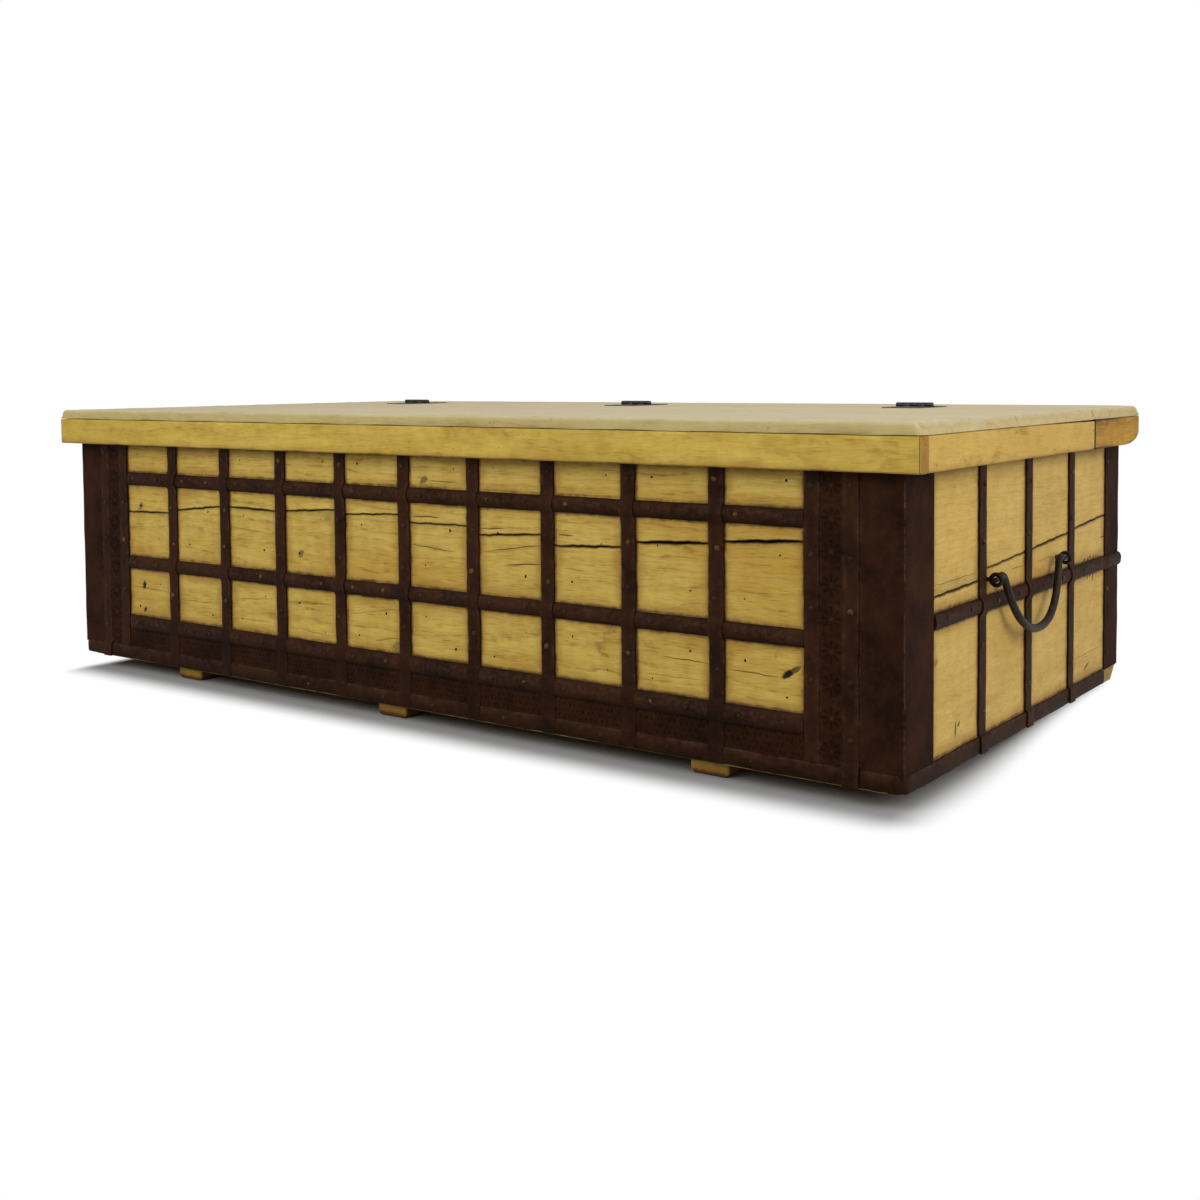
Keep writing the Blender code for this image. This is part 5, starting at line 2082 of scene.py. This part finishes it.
@dataclass(frozen=True)
class Board:
    """A board or bar with rounded, slightly worn edges, hewn roughly at its ends.

    Soil, rim and lower edge shade say how dark its sides, the line at its ends and its lower edge are:
    the sides carry dirt and painted shade, the lower edge painted shade.
    """

    name: str
    node: str
    grain: Axis
    radii: Span = (2.0 * MM, 2.0 * MM)
    end_radius: float = 2.0 * MM
    wobble: float = 0.25 * MM
    ragged: float = 0.0
    droop: float = 0.0
    soil: float = 0.0
    patches: float = 1.1
    rim: float = 0.0
    burn: float = 0.0
    burn_rise: float = 12.0 * MM
    clean: float = 3.6 * MM
    step: float = 18.0 * MM
    close: float = 22.0 * MM
    seed: float = 0.0
    line: float = 1.6 * MM
    hewn_length: float = 16.0 * MM

    def _places(self, low: float, high: float) -> np.ndarray:
        """Places of the rings along the grain, close together at the rounded ends.

        Args:
            low: Where the board starts.
            high: Where it ends.

        Returns:
            The places.
        """
        turns = [k * math.pi / 10 for k in range(6)]
        ends = [self.end_radius * (1 - math.cos(turn)) for turn in turns]
        ends += [ends[-1] + self.line, ends[-1] + 2 * self.line]
        inside = spaced(low + ends[-1], high - ends[-1], self.step)
        return np.array([low + e for e in ends[:-1]] + [*inside] + [high - e for e in ends[-2::-1]])

    @staticmethod
    def _inset(edge: np.ndarray, radius: float) -> np.ndarray:
        """How far a rounded end draws the section in, at distances from the end."""
        drawn = np.clip(1.0 - edge / radius, 0.0, 1.0)
        return radius * (1.0 - np.sqrt(1.0 - drawn**2))

    def build(self) -> bpy.types.Object:
        """Sweeps the board's section along its grain, drawn in at both ends.

        Returns:
            The board.
        """
        low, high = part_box(self.node)
        run = self.grain.value
        a, b = [axis.value for axis in Axis if axis is not self.grain]
        middle, half = (low + high) / 2, (high - low) / 2
        places = self._places(low[run], high[run])
        section = rounded_section((half[a], half[b]), self.radii, self.close)
        rings = np.zeros((len(places), len(section), 3))
        soil, near = np.zeros(rings.shape[:2]), np.zeros(rings.shape[:2])
        bare = 0.45 - drift(places, 420 * MM, self.seed)
        patchy = np.clip(1.0 - self.patches * bare, 0.0, 1.0)
        # Painted shade along the lower edge, stored as nearness for the rim colours.
        edge_shade_share = self.burn * (0.8 + 0.2 * drift(places, 140 * MM, self.seed))
        edge = np.minimum(places - low[run], high[run] - places)
        inward = np.sign(middle[run] - places)
        hewn = np.clip(1.0 - edge / self.hewn_length, 0.0, 1.0) * self.ragged
        sag = self.droop * np.clip((places - middle[run]) / half[run], 0.0, 1.0) ** 1.5
        rim = (edge > 0.5 * self.end_radius) & (edge < self.end_radius + 0.5 * self.line)
        for j, (pa, pb) in enumerate(section):
            upper = pb > 0
            radius = self.end_radius if upper else min(self.end_radius, self.radii[1])
            worn = self.wobble * (1.0 - drift(places, 130 * MM, self.seed + 0.7 * j)) / 2
            corner = abs(pa) > half[a] - self.radii[0] and abs(pb) > half[b] - self.radii[0]
            shrink = self._inset(edge, radius) + worn * (1.0 if corner else 0.3)
            rough = 0.5 + 0.35 * float(drift(pa, 83 * MM, self.seed + 2.0))
            rough += 0.35 * float(drift(pa, 29 * MM, self.seed + 5.0))
            lift = (pb / half[b] + 1.0) / 2
            rings[:, j, run] = places + inward * hewn * max(rough, 0.0) * lift**2
            rings[:, j, a] = middle[a] + pa - np.sign(pa) * np.minimum(shrink, abs(pa))
            level = middle[b] + pb - np.sign(pb) * np.minimum(shrink, abs(pb))
            rings[:, j, b] = level - (sag + 0.45 * hewn * max(0.9 - rough, 0.0) if upper else 0.0)
            # Dirt and painted shade on the long sides.
            side = abs(pa) > half[a] - 0.6 * self.radii[0]
            sides_soil_and_shade = self.soil * side * (edge >= self.clean) * patchy
            soil[:, j] = np.maximum(sides_soil_and_shade, self.rim * rim)
            near[:, j] = edge_shade_share * max(0.0, 1.0 - (pb + half[b]) / self.burn_rise)
        return Bench.loft(self.name, rings, {"grime": soil, "near": near})

    def deliver(self, finish: Finish, body: Body) -> None:
        """Makes the board, dresses it and hangs it on its body."""
        Bench.deliver(self.build(), finish, body, [self.node])


@dataclass
class Top:
    """The lid, the fixed strip behind it and what is under them.

    Nails are Y, Z and size of each, in millimetres.
    """

    layout: Layout
    hinges: tuple[str, ...] = ("left", "middle", "right")
    recess_room: float = 0.5 * MM
    recess: float = 2.3 * MM
    toe_length: float = 60.0 * MM
    toe_rise: float = 18.0 * MM
    toe_steps: int = 8
    toe_ease: float = 1.5 * MM
    toe_face: float = 3.4 * MM
    seam: float = 0.9 * MM
    lid_nails: Edges = ((-372.2, 393.1, 1.2), (-344.2, 398.6, 1.0), (-343.9, 370.4, 1.1))
    fixed_nails: Edges = ((315.5, 397.5, 1.5),)

    def build(self) -> None:
        """Makes the boards, rails and battens."""
        rows = (
            ("lid_front", TOP_WOOD, Body.LID, 4.5 * MM, 0.9 * MM),
            ("lid_rear", REAR_TOP_WOOD, Body.LID, 1.4 * MM, 0.25 * MM),
            ("fixed_top", FIXED_TOP_WOOD, Body.CHEST, 3.5 * MM, 0.6 * MM),
        )
        for i, (stem, finish, body, radius, wobble) in enumerate(rows, 1):
            plank = Board(
                f"{stem}_plank", f"{stem}_board", Axis.X, (radius, 1.0 * MM), 6.0 * MM, wobble,
                ragged=6.0 * MM, close=9.0 * MM, seed=i,
            ).build()
            if stem != "lid_front":
                self._let_in(plank, stem.split("_")[0])
            Bench.deliver(plank, finish, body, [f"{stem}_board"])
        # The rails carry painted shade along their lower edges.
        Board(
            "lid_front_apron", "lid_front_rail", Axis.X, (1.0 * MM, 2.6 * MM), 1.4 * MM, 0.6 * MM,
            rim=0.75, burn=1.0, burn_rise=16.0 * MM, close=4.0 * MM, seed=4.0,
        ).deliver(RAIL_WOOD, Body.LID)
        for side in Side:
            Board(
                f"lid_{side.word}_apron", f"lid_{side.word}_rail", Axis.Y, (0.8 * MM, 3.0 * MM),
                0.6 * MM, 0.5 * MM, droop=1.8 * MM, rim=0.8, burn=0.95, burn_rise=14.0 * MM,
                close=4.0 * MM, seed=5.0,
            ).deliver(END_RAIL_WOOD, Body.LID)
            self._return_rail(side)
            self._nails(side, "lid", self.lid_nails, Body.LID)
            self._nails(side, "fixed", self.fixed_nails, Body.CHEST)
            batten = f"lid_{side.word}_cross_batten", f"lid_{side.word}_batten"
            Board(*batten, Axis.Y).deliver(BATTEN_WOOD, Body.LID)
        Board("hinge_bearer", "hinge_rail", Axis.X).deliver(INNER_WOOD, Body.CHEST)

    def _let_in(self, board: bpy.types.Object, leaf: str) -> None:
        """Cuts the hinge recesses into a board's top.

        Args:
            board: The board.
            leaf: Which leaf lies in it.
        """
        room = Vector((self.recess_room, self.recess_room, 0.0))
        for name in self.hinges:
            low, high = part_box(f"{name}_hinge_{leaf}_leaf")
            low, high = low - room, high + room
            low.z = self.layout.top - self.recess
            Bench.cut(board, Bench.block("recess", low, high))

    def _return_rail(self, side: Side) -> None:
        """The fixed strip's rail on one end, with its rounded toe and a dark seam.

        Args:
            side: The end of the chest.
        """
        node = f"fixed_top_{side.word}_rail"
        low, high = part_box(node)
        seam, ease, face = low.y + self.seam, self.toe_ease, self.toe_face
        outline = [(high.y, high.z), (seam, high.z), (seam, low.z)]
        for i in range(self.toe_steps + 1):
            turn = i / self.toe_steps * math.pi / 2
            back = high.y - self.toe_length * (1 - math.sin(turn))
            outline.append((back, low.z + self.toe_rise * (1 - math.cos(turn))))
        middle = (low + high) / 2
        depths = (0.0, 0.0, 0.3 * ease, ease)
        places = [low.x + d for d in depths] + [high.x - d for d in depths[::-1]]
        insets = (face, ease, 0.35 * ease, 0.0)
        rings = np.zeros((len(places), len(outline), 3))
        soil = np.zeros(rings.shape[:2])
        for i, (x, inset) in enumerate(zip(places, insets + insets[::-1])):
            for j, (y, z) in enumerate(outline):
                y_in = y + math.copysign(inset, middle.y - y)
                rings[i, j] = (x, y_in, z + math.copysign(inset, middle.z - z))
                soil[i, j] = float(y == seam and inset < face)
        toe = Bench.loft(f"fixed_{side.word}_apron", rings, {"grime": soil})
        Bench.deliver(toe, RETURN_RAIL_WOOD, Body.CHEST, [node])

    @staticmethod
    def _nails(side: Side, word: str, nails: Edges, body: Body) -> None:
        """Dark nails in the outer face of the rails.

        Args:
            side: The end of the chest.
            word: Which rails they are in.
            nails: Y, Z and size of each, in millimetres.
            body: What they ride on.
        """
        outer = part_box(f"lid_{side.word}_rail")[0 if side is Side.LEFT else 1].x
        normal = Wall[side.name].normal
        places = [
            outward_frame(Vector((outer, y * MM, z * MM)) - normal * 0.5 * MM, normal, y, size)
            for y, z, size in nails
        ]
        obj = Bench.copies(f"{word}_{side.word}_apron_nails", stud(1.5 * MM, 0.5 * MM, 7), places)
        Bench.deliver(obj, BLACK_NAIL, body)


@dataclass
class Base:
    """The floor boards and the runners under them."""

    end_shade: tuple[float, float, float] = (0.68, 0.66, 0.47)
    chopped: float = 14.0 * MM
    chop_slant: float = 1.1

    def build(self) -> None:
        """Makes the floor and the runners."""
        for i, name in enumerate(("front", "middle", "back")):
            node = f"floor_{name}_board"
            # The floor boards' sides carry dirt and painted shade.
            floor = Board(
                f"floor_{name}_plank", node, Axis.X, (1.0 * MM, 1.0 * MM), soil=0.95, clean=0.0,
                seed=14.7 + i,
            ).build()
            finish = replace(
                INNER_WOOD, name=f"floor_{name}_wood", heart=(0.0, -0.3 + 0.25 * i, -0.05),
                end_grain=self.end_shade,
            )
            if name != "middle":
                for side in Side:
                    self._chop(floor, side, Wall[name.upper()])
            Bench.deliver(floor, finish, Body.CHEST, [node])
        for i, name in enumerate(("left", "middle", "right")):
            # The runners carry dirt and painted shade on their sides and painted shade on their lower
            # ends.
            Board(
                f"{name}_foot_runner", f"{name}_runner", Axis.Y, (2.0 * MM, 6.0 * MM), 3.0 * MM,
                0.6 * MM, soil=0.7, patches=0.0, burn=1.4, burn_rise=17.0 * MM, seed=i,
            ).deliver(RUNNER_WOOD, Body.CHEST)

    def _chop(self, floor: bpy.types.Object, side: Side, wall: Wall) -> None:
        """Chops off a corner of the floor, slantwise.

        Args:
            floor: The board along the wall.
            side: Which of its corners.
            wall: The front or the back.
        """
        low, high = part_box(f"floor_{wall.name.lower()}_board")
        corner = Vector((side.value * high.x, high.y if wall is Wall.BACK else low.y, low.z))
        out = Vector((side.value, wall.outside, -self.chop_slant)).normalized()
        wide = Vector((0.1, 0.1, 0.0))
        tool = Bench.block("chop", -wide, wide + UP * 0.1)
        tool.data.transform(outward_frame(corner - out * self.chopped, out, 0.0, 1.0))
        Bench.cut(floor, tool)


@dataclass
class Hinges:
    """Three butt hinges let into the top, with their screws.

    Screws are shares of the length from the middle and of the leaf from the hinge line.
    """

    layout: Layout
    length: float = 56.0 * MM
    leaf: float = 50.0 * MM
    thickness: float = 2.0 * MM
    proud: float = 1.2 * MM
    radius: float = 3.5 * MM
    room: float = 0.6 * MM
    neck_room: float = 0.7 * MM
    knuckle_gap: float = 0.3 * MM
    knuckles: int = 5
    screws: tuple[Span, ...] = ((-0.33, 0.62), (0.0, 0.36), (0.33, 0.62))

    def build(self) -> None:
        """Makes both leaves of each hinge."""
        leaves = {"fixed": (Body.CHEST, 1, 0), "lid": (Body.LID, -1, 1)}
        screws: dict[str, list[Matrix]] = {"fixed": [], "lid": []}
        for name in ("left", "middle", "right"):
            for leaf, row in leaves.items():
                screws[leaf] += self._leaf(f"{name}_hinge_{leaf}_leaf", *row)
        for leaf, places in screws.items():
            heads = Bench.copies(f"{leaf}_hinge_screws", self._screw(), places)
            Bench.deliver(heads, HINGE_STEEL, leaves[leaf][0])

    def _leaf(self, node: str, body: Body, sign: int, first: int) -> list[Matrix]:
        """A leaf with its knuckles.

        Args:
            node: The node that it stands for.
            body: What it rides on.
            sign: 1 behind the hinge line, -1 before it.
            first: The number of its first knuckle.

        Returns:
            Where its screws go.
        """
        low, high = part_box(node)
        middle, pin = (low.x + high.x) / 2, self.layout.joints["lid_hinge"]
        top, half = self.layout.top + self.proud, self.length / 2
        near, far = sorted((sign * self.room, sign * (self.room + self.leaf)))
        under = top - self.proud - self.thickness
        foot = Vector((middle - half, pin.y + near, under))
        parts = [Bench.block("plate", foot, Vector((middle + half, pin.y + far, top)), 0.35 * MM)]
        pitch, gap = self.length / self.knuckles, self.knuckle_gap
        near, far = sorted((sign * self.neck_room, sign * self.radius))
        for i in range(first, self.knuckles, 2):
            x = middle - half + (i + 0.5) * pitch
            parts.append(self._knuckle(Vector((x, pin.y, pin.z)), pitch - gap))
            start = Vector((x - pitch / 2 + gap / 2, pin.y + near, top - 1.0 * MM))
            end = Vector((x + pitch / 2 - gap / 2, pin.y + far, pin.z))
            parts.append(Bench.block("neck", start, end, 0.2 * MM))
        Bench.deliver(Bench.join(f"{node}_dressed", parts), HINGE_STEEL, body, [node])
        places = []
        for along, out in self.screws:
            place = Vector((middle + along * self.length, pin.y + sign * out * self.leaf, top))
            places.append(outward_frame(place, UP, 1.3 + 5 * along + middle, 1.0))
        return places

    def _knuckle(self, place: Vector, length: float) -> bpy.types.Object:
        """A barrel along the hinge line with eased rims.

        Args:
            place: Its middle.
            length: How long it is.

        Returns:
            The knuckle.
        """
        barrel = bpy.ops.mesh.primitive_cylinder_add
        obj = Bench.primitive("knuckle", barrel, vertices=20, radius=self.radius, depth=length)
        obj.data.transform(Matrix.Translation(place) @ Matrix.Rotation(math.pi / 2, 4, "Y"))
        Bench.ease(obj, 0.35 * MM)
        return obj

    @staticmethod
    def _screw() -> bpy.types.Object:
        """A countersunk screw head with its slot.

        Returns:
            The head, about the origin.
        """
        head = Bench.primitive(
            "screw", bpy.ops.mesh.primitive_cone_add, vertices=18, radius1=3.2 * MM,
            radius2=3.9 * MM, depth=1.0 * MM,
        )
        head.data.transform(Matrix.Translation((0, 0, -0.25 * MM)))
        Bench.ease(head, 0.2 * MM)
        low, high = Vector((-5.0, -0.45, -0.35)) * MM, Vector((5.0, 0.45, 1.0)) * MM
        Bench.cut(head, Bench.block("slot", low, high))
        return head


@dataclass
class Handle:
    """A forged bail that hangs from two eyes.

    From its pivot the rod leads out, rises to a crook, bends down into a leg and curves to the
    bottom, where the pulls say how far the leg and the bottom run straight, as shares of the span.
    """

    side: Side
    layout: Layout
    drop: float = 73.5 * MM
    lean: float = math.radians(6.5)
    pivot: float = 3.1 * MM
    tail: float = 8.5 * MM
    tip: float = 0.6 * MM
    lead: float = 4.0 * MM
    reach: float = 17.2 * MM
    rise: float = 3.5 * MM
    crook: float = 10.0 * MM
    crook_rod: float = 4.6 * MM
    rod: float = 5.2 * MM
    leg: float = math.radians(68.0)
    leg_pull: float = 0.184
    bottom_pull: float = 0.2046
    sides: int = 12
    eye_wire: float = 2.6 * MM
    eye_radius: float = 6.5 * MM

    @property
    def span(self) -> float:
        """The distance between the middles of the two eyes."""
        front, rear = (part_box(f"{self.side.word}_handle_{word}_eye") for word in ("front", "rear"))
        return (rear[0].y + rear[1].y - front[0].y - front[1].y) / 2

    def _half_path(self) -> list[tuple[float, float, float]]:
        """Half the bail, from its pivot to the lowest point.

        Returns:
            (y, z, rod radius) along it.
        """
        span, eye = self.span, -self.span / 2
        growth = self.crook_rod - self.pivot
        path = [(eye - self.tail - self.tip, 0.0, 0.5 * self.pivot)]
        path += [(eye - share * self.tail, 0.0, self.pivot) for share in (1.0, 0.5, 0.0)]
        for share in np.linspace(0.0, 1.0, 9):
            y = eye + self.lead + (self.reach - self.lead) * share
            path.append((y, self.rise * share**2 * (3 - 2 * share), self.pivot + growth * share * 0.7))
        crown = Vector((eye + self.reach, self.rise))
        for share in np.linspace(0.1, 1.0, 10):
            turn = self.leg * share
            bend = Vector((math.sin(turn), math.cos(turn) - 1)) * self.crook
            path.append((*(crown + bend), self.crook_rod - growth * 0.3 * (1 - share)))
        start, bottom = Vector(path[-1][:2]), Vector((0.0, -self.drop))
        pull = start + Vector((math.cos(self.leg), -math.sin(self.leg))) * self.leg_pull * span
        level = bottom - Vector((self.bottom_pull * span, 0.0))
        for i in range(1, 25):
            t = i / 24
            leg = start * (1 - t) ** 3 + pull * 3 * t * (1 - t) ** 2
            point = leg + level * 3 * t**2 * (1 - t) + bottom * t**3
            path.append((*point, self.crook_rod + (self.rod - self.crook_rod) * t))
        return path

    def build(self) -> None:
        """Makes the bail and its eyes."""
        half = self._half_path()
        whole = np.array(half + [(-y, z, rod) for y, z, rod in reversed(half[:-1])])
        heading = np.gradient(whole[:, :2], axis=0)
        heading /= np.linalg.norm(heading, axis=1)[:, None]
        sign, axis = self.side.value, self.layout.joints[f"{self.side.word}_handle_swing"]
        rings = np.zeros((len(whole), self.sides, 3))
        wear = np.zeros(rings.shape[:2])
        length = np.linspace(0.0, 0.36, len(whole))
        out, down = math.sin(self.lean), math.cos(self.lean)
        for j in range(self.sides):
            turn = math.tau * j / self.sides
            dent = 1.0 + 0.03 * drift(length, 55 * MM, 0.9 * j)
            thick = whole[:, 2] * np.where(whole[:, 2] > self.pivot, dent, 1.0)
            across, aside = thick * math.cos(turn), thick * math.sin(turn)
            rise = whole[:, 1] + heading[:, 0] * aside
            rings[:, j, 0] = axis.x + sign * (across * down - rise * out)
            rings[:, j, 1] = axis.y + whole[:, 0] - heading[:, 1] * aside
            rings[:, j, 2] = axis.z + rise * down + across * out
            wear[:, j] = np.clip(0.35 + 0.35 * drift(length, 120 * MM, j), 0.0, 1.0)
        bail = Bench.loft(f"{self.side.word}_forged_bail", rings, {"wear": wear})
        body = Body[f"{self.side.name}_HANDLE"]
        Bench.deliver(bail, HANDLE_IRON, body, [f"{self.side.word}_handle_bail"], 60.0)
        for word, y in (("front", -self.span / 2), ("rear", self.span / 2)):
            self._eye(word, Vector((axis.x, axis.y + y, axis.z)))

    def _eye(self, word: str, place: Vector) -> None:
        """An eye: a ring of wire, its shank through the board and the clenched head inside.

        Args:
            word: Which of the two eyes.
            place: The middle of its ring.
        """
        node, sign = f"{self.side.word}_handle_{word}_eye", self.side.value
        ring = Bench.primitive(
            "ring", bpy.ops.mesh.primitive_torus_add, major_radius=self.eye_radius,
            minor_radius=self.eye_wire, major_segments=28, minor_segments=10,
        )
        ring.data.transform(Matrix.Translation(place) @ Matrix.Rotation(math.pi / 2, 4, "X"))
        low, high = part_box(node)
        inner, wall = low.x if sign > 0 else high.x, sign * self.layout.end
        profile = (
            (wall, 3.2, 2.6), (wall, 0.6, 3.1), (wall, -1.0, 3.0), (inner, 2.2, 3.0),
            (inner, 2.0, 6.6), (inner, 1.0, 6.4), (inner, 0.0, 3.0),
        )
        turns = math.tau * np.arange(12) / 12
        rings = np.zeros((len(profile), len(turns), 3))
        for i, (start, out, radius) in enumerate(profile):
            rings[i, :, 0] = start + sign * out * MM
            rings[i, :, 1] = place.y + radius * MM * np.cos(turns)
            rings[i, :, 2] = place.z + radius * MM * np.sin(turns)
        eye = Bench.join(f"{self.side.word}_{word}_ring_eye", [ring, Bench.loft("shank", rings)])
        Bench.deliver(eye, HANDLE_IRON, Body.CHEST, [node], 50.0)


Place = tuple[float, float, float]


@dataclass(frozen=True)
class Studio:
    """The floor, the light and the camera.

    Lamps are (name, place, aim, size, power in watts). Round the footprint the floor shows grey paper, a
    painted shadow round the real one, which fades into white over the distances of fade, and on the side
    faster, with a start farther in, between two places along the side and towards the left.
    """

    camera_place: Place = (1.3553, -1.7653, 0.4682)
    heading: float = 0.6325
    tilt: float = 0.0488
    roll: float = -0.0077
    lens: float = 43.26
    shift: float = -0.1293
    floor_size: float = 30.0
    footprint: Span = (0.706, 0.37)
    paper: tuple[float, float, float, float] = (0.36, 0.36, 0.36, 1.0)
    fade: Span = (0.0, 0.076)
    side_fade: tuple[float, float, float, float] = (1.15, 0.03, -0.3, 0.4)
    left_fade: Span = (0.2, 0.7)
    sky: float = 0.34
    lamps: tuple[tuple[str, Place, Place, float, float], ...] = (
        ("right_softbox", (3.1, -0.6, 1.6), (0.6, 0.0, 0.2), 1.8, 48.0),
        ("front_softbox", (-0.5, -2.9, 2.1), (0.0, 0.0, 0.2), 2.0, 57.0),
        ("top_softbox", (0.0, 1.1, 3.2), (0.0, 0.2, 0.0), 2.6, 36.0),
    )

    def build(self) -> None:
        """Sets up the studio."""
        self._floor()
        self._world()
        for lamp in self.lamps:
            self._lamp(*lamp)
        self._camera()
        bpy.context.scene.view_settings.view_transform = "Standard"

    def _floor(self) -> None:
        """A floor that takes the shadow and adds a painted shadow: grey paper round the footprint that
        fades into white glow farther out.
        """
        plane = bpy.ops.mesh.primitive_plane_add
        floor = Bench.primitive("studio_floor", plane, size=self.floor_size)
        graph = Graph(bpy.data.materials.new("studio_floor_paint"))
        x, y, _ = graph.parts(graph.place())
        faster, inside, start, end = self.side_fade
        rear, left = y.step(start, end), (0.0 - x).step(*self.left_fade)
        beyond = ((x**2.0) ** 0.5 - self.footprint[0] + (rear + left) * inside).limited()
        beside = beyond * (rear + left + faster)
        before = ((y**2.0) ** 0.5 - self.footprint[1]).limited()
        away = (beside**2.0 + before**2.0) ** 0.5
        paper = graph.node("ShaderNodeBsdfDiffuse", {}, {"Color": self.paper})
        glow = graph.node("ShaderNodeEmission", {}, {"Color": (1, 1, 1, 1), "Strength": 1.0})
        # Painted shadow: the grey paper shows near the footprint, shaped per side, and white glow
        # beyond.
        share = graph.seen(1.0) * away.step(*self.fade)
        shader = graph.node("ShaderNodeMixShader", {}, {0: share, 1: paper, 2: glow})
        graph.node("ShaderNodeOutputMaterial", {}, {"Surface": shader})
        floor.data.materials.append(graph.owner)

    def _world(self) -> None:
        """White where it is seen, and a softer white as light."""
        world = bpy.data.worlds.new("studio_white")
        bpy.context.scene.world = world
        graph = Graph(world)
        strength = self.sky + graph.seen(0.6) * (1.0 - self.sky)
        sky = graph.node("ShaderNodeBackground", {}, {"Color": (1, 1, 1, 1), "Strength": strength})
        graph.node("ShaderNodeOutputWorld", {}, {"Surface": sky})

    @staticmethod
    def _lamp(name: str, place: Place, aim: Place, size: float, power: float) -> None:
        """A large soft lamp.

        Args:
            name: The lamp's name.
            place: Where it hangs.
            aim: What it points at.
            size: How wide it is.
            power: Its power in watts.
        """
        data = bpy.data.lights.new(name, "AREA")
        data.shape = "SQUARE"
        data.size = size
        data.energy = power
        lamp = bpy.data.objects.new(name, data)
        lamp.location = place
        lamp.rotation_euler = (Vector(aim) - Vector(place)).to_track_quat("-Z", "Y").to_euler()
        bpy.context.scene.collection.objects.link(lamp)

    def _camera(self) -> None:
        """The camera where the photograph was taken from."""
        data = bpy.data.cameras.new("studio_camera")
        data.sensor_width = 36.0
        data.lens = self.lens
        data.shift_y = self.shift
        camera = bpy.data.objects.new("studio_camera", data)
        level = math.cos(self.tilt)
        ahead = Vector(
            (-math.sin(self.heading) * level, math.cos(self.heading) * level, -math.sin(self.tilt))
        )
        right = ahead.cross(UP).normalized()
        above = right.cross(ahead)
        turned_right = right * math.cos(self.roll) + above * math.sin(self.roll)
        turned_up = above * math.cos(self.roll) - right * math.sin(self.roll)
        frame = Matrix((turned_right, turned_up, -ahead)).transposed().to_4x4()
        frame.translation = Vector(self.camera_place)
        camera.matrix_world = frame
        bpy.context.scene.collection.objects.link(camera)
        bpy.context.scene.camera = camera


def main() -> None:
    """Loads the frame, builds every sub-assembly and sets up the studio."""
    logging.basicConfig(level=logging.INFO, format="%(message)s")
    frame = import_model()
    layout = Layout.read(frame)
    Planks(layout).build()
    FrontIron(layout).build()
    EndIron(layout).build()
    Top(layout).build()
    Base().build()
    Hinges(layout).build()
    for side in Side:
        Handle(side, layout).build()
    Studio().build()


if __name__ == "__main__":
    main()
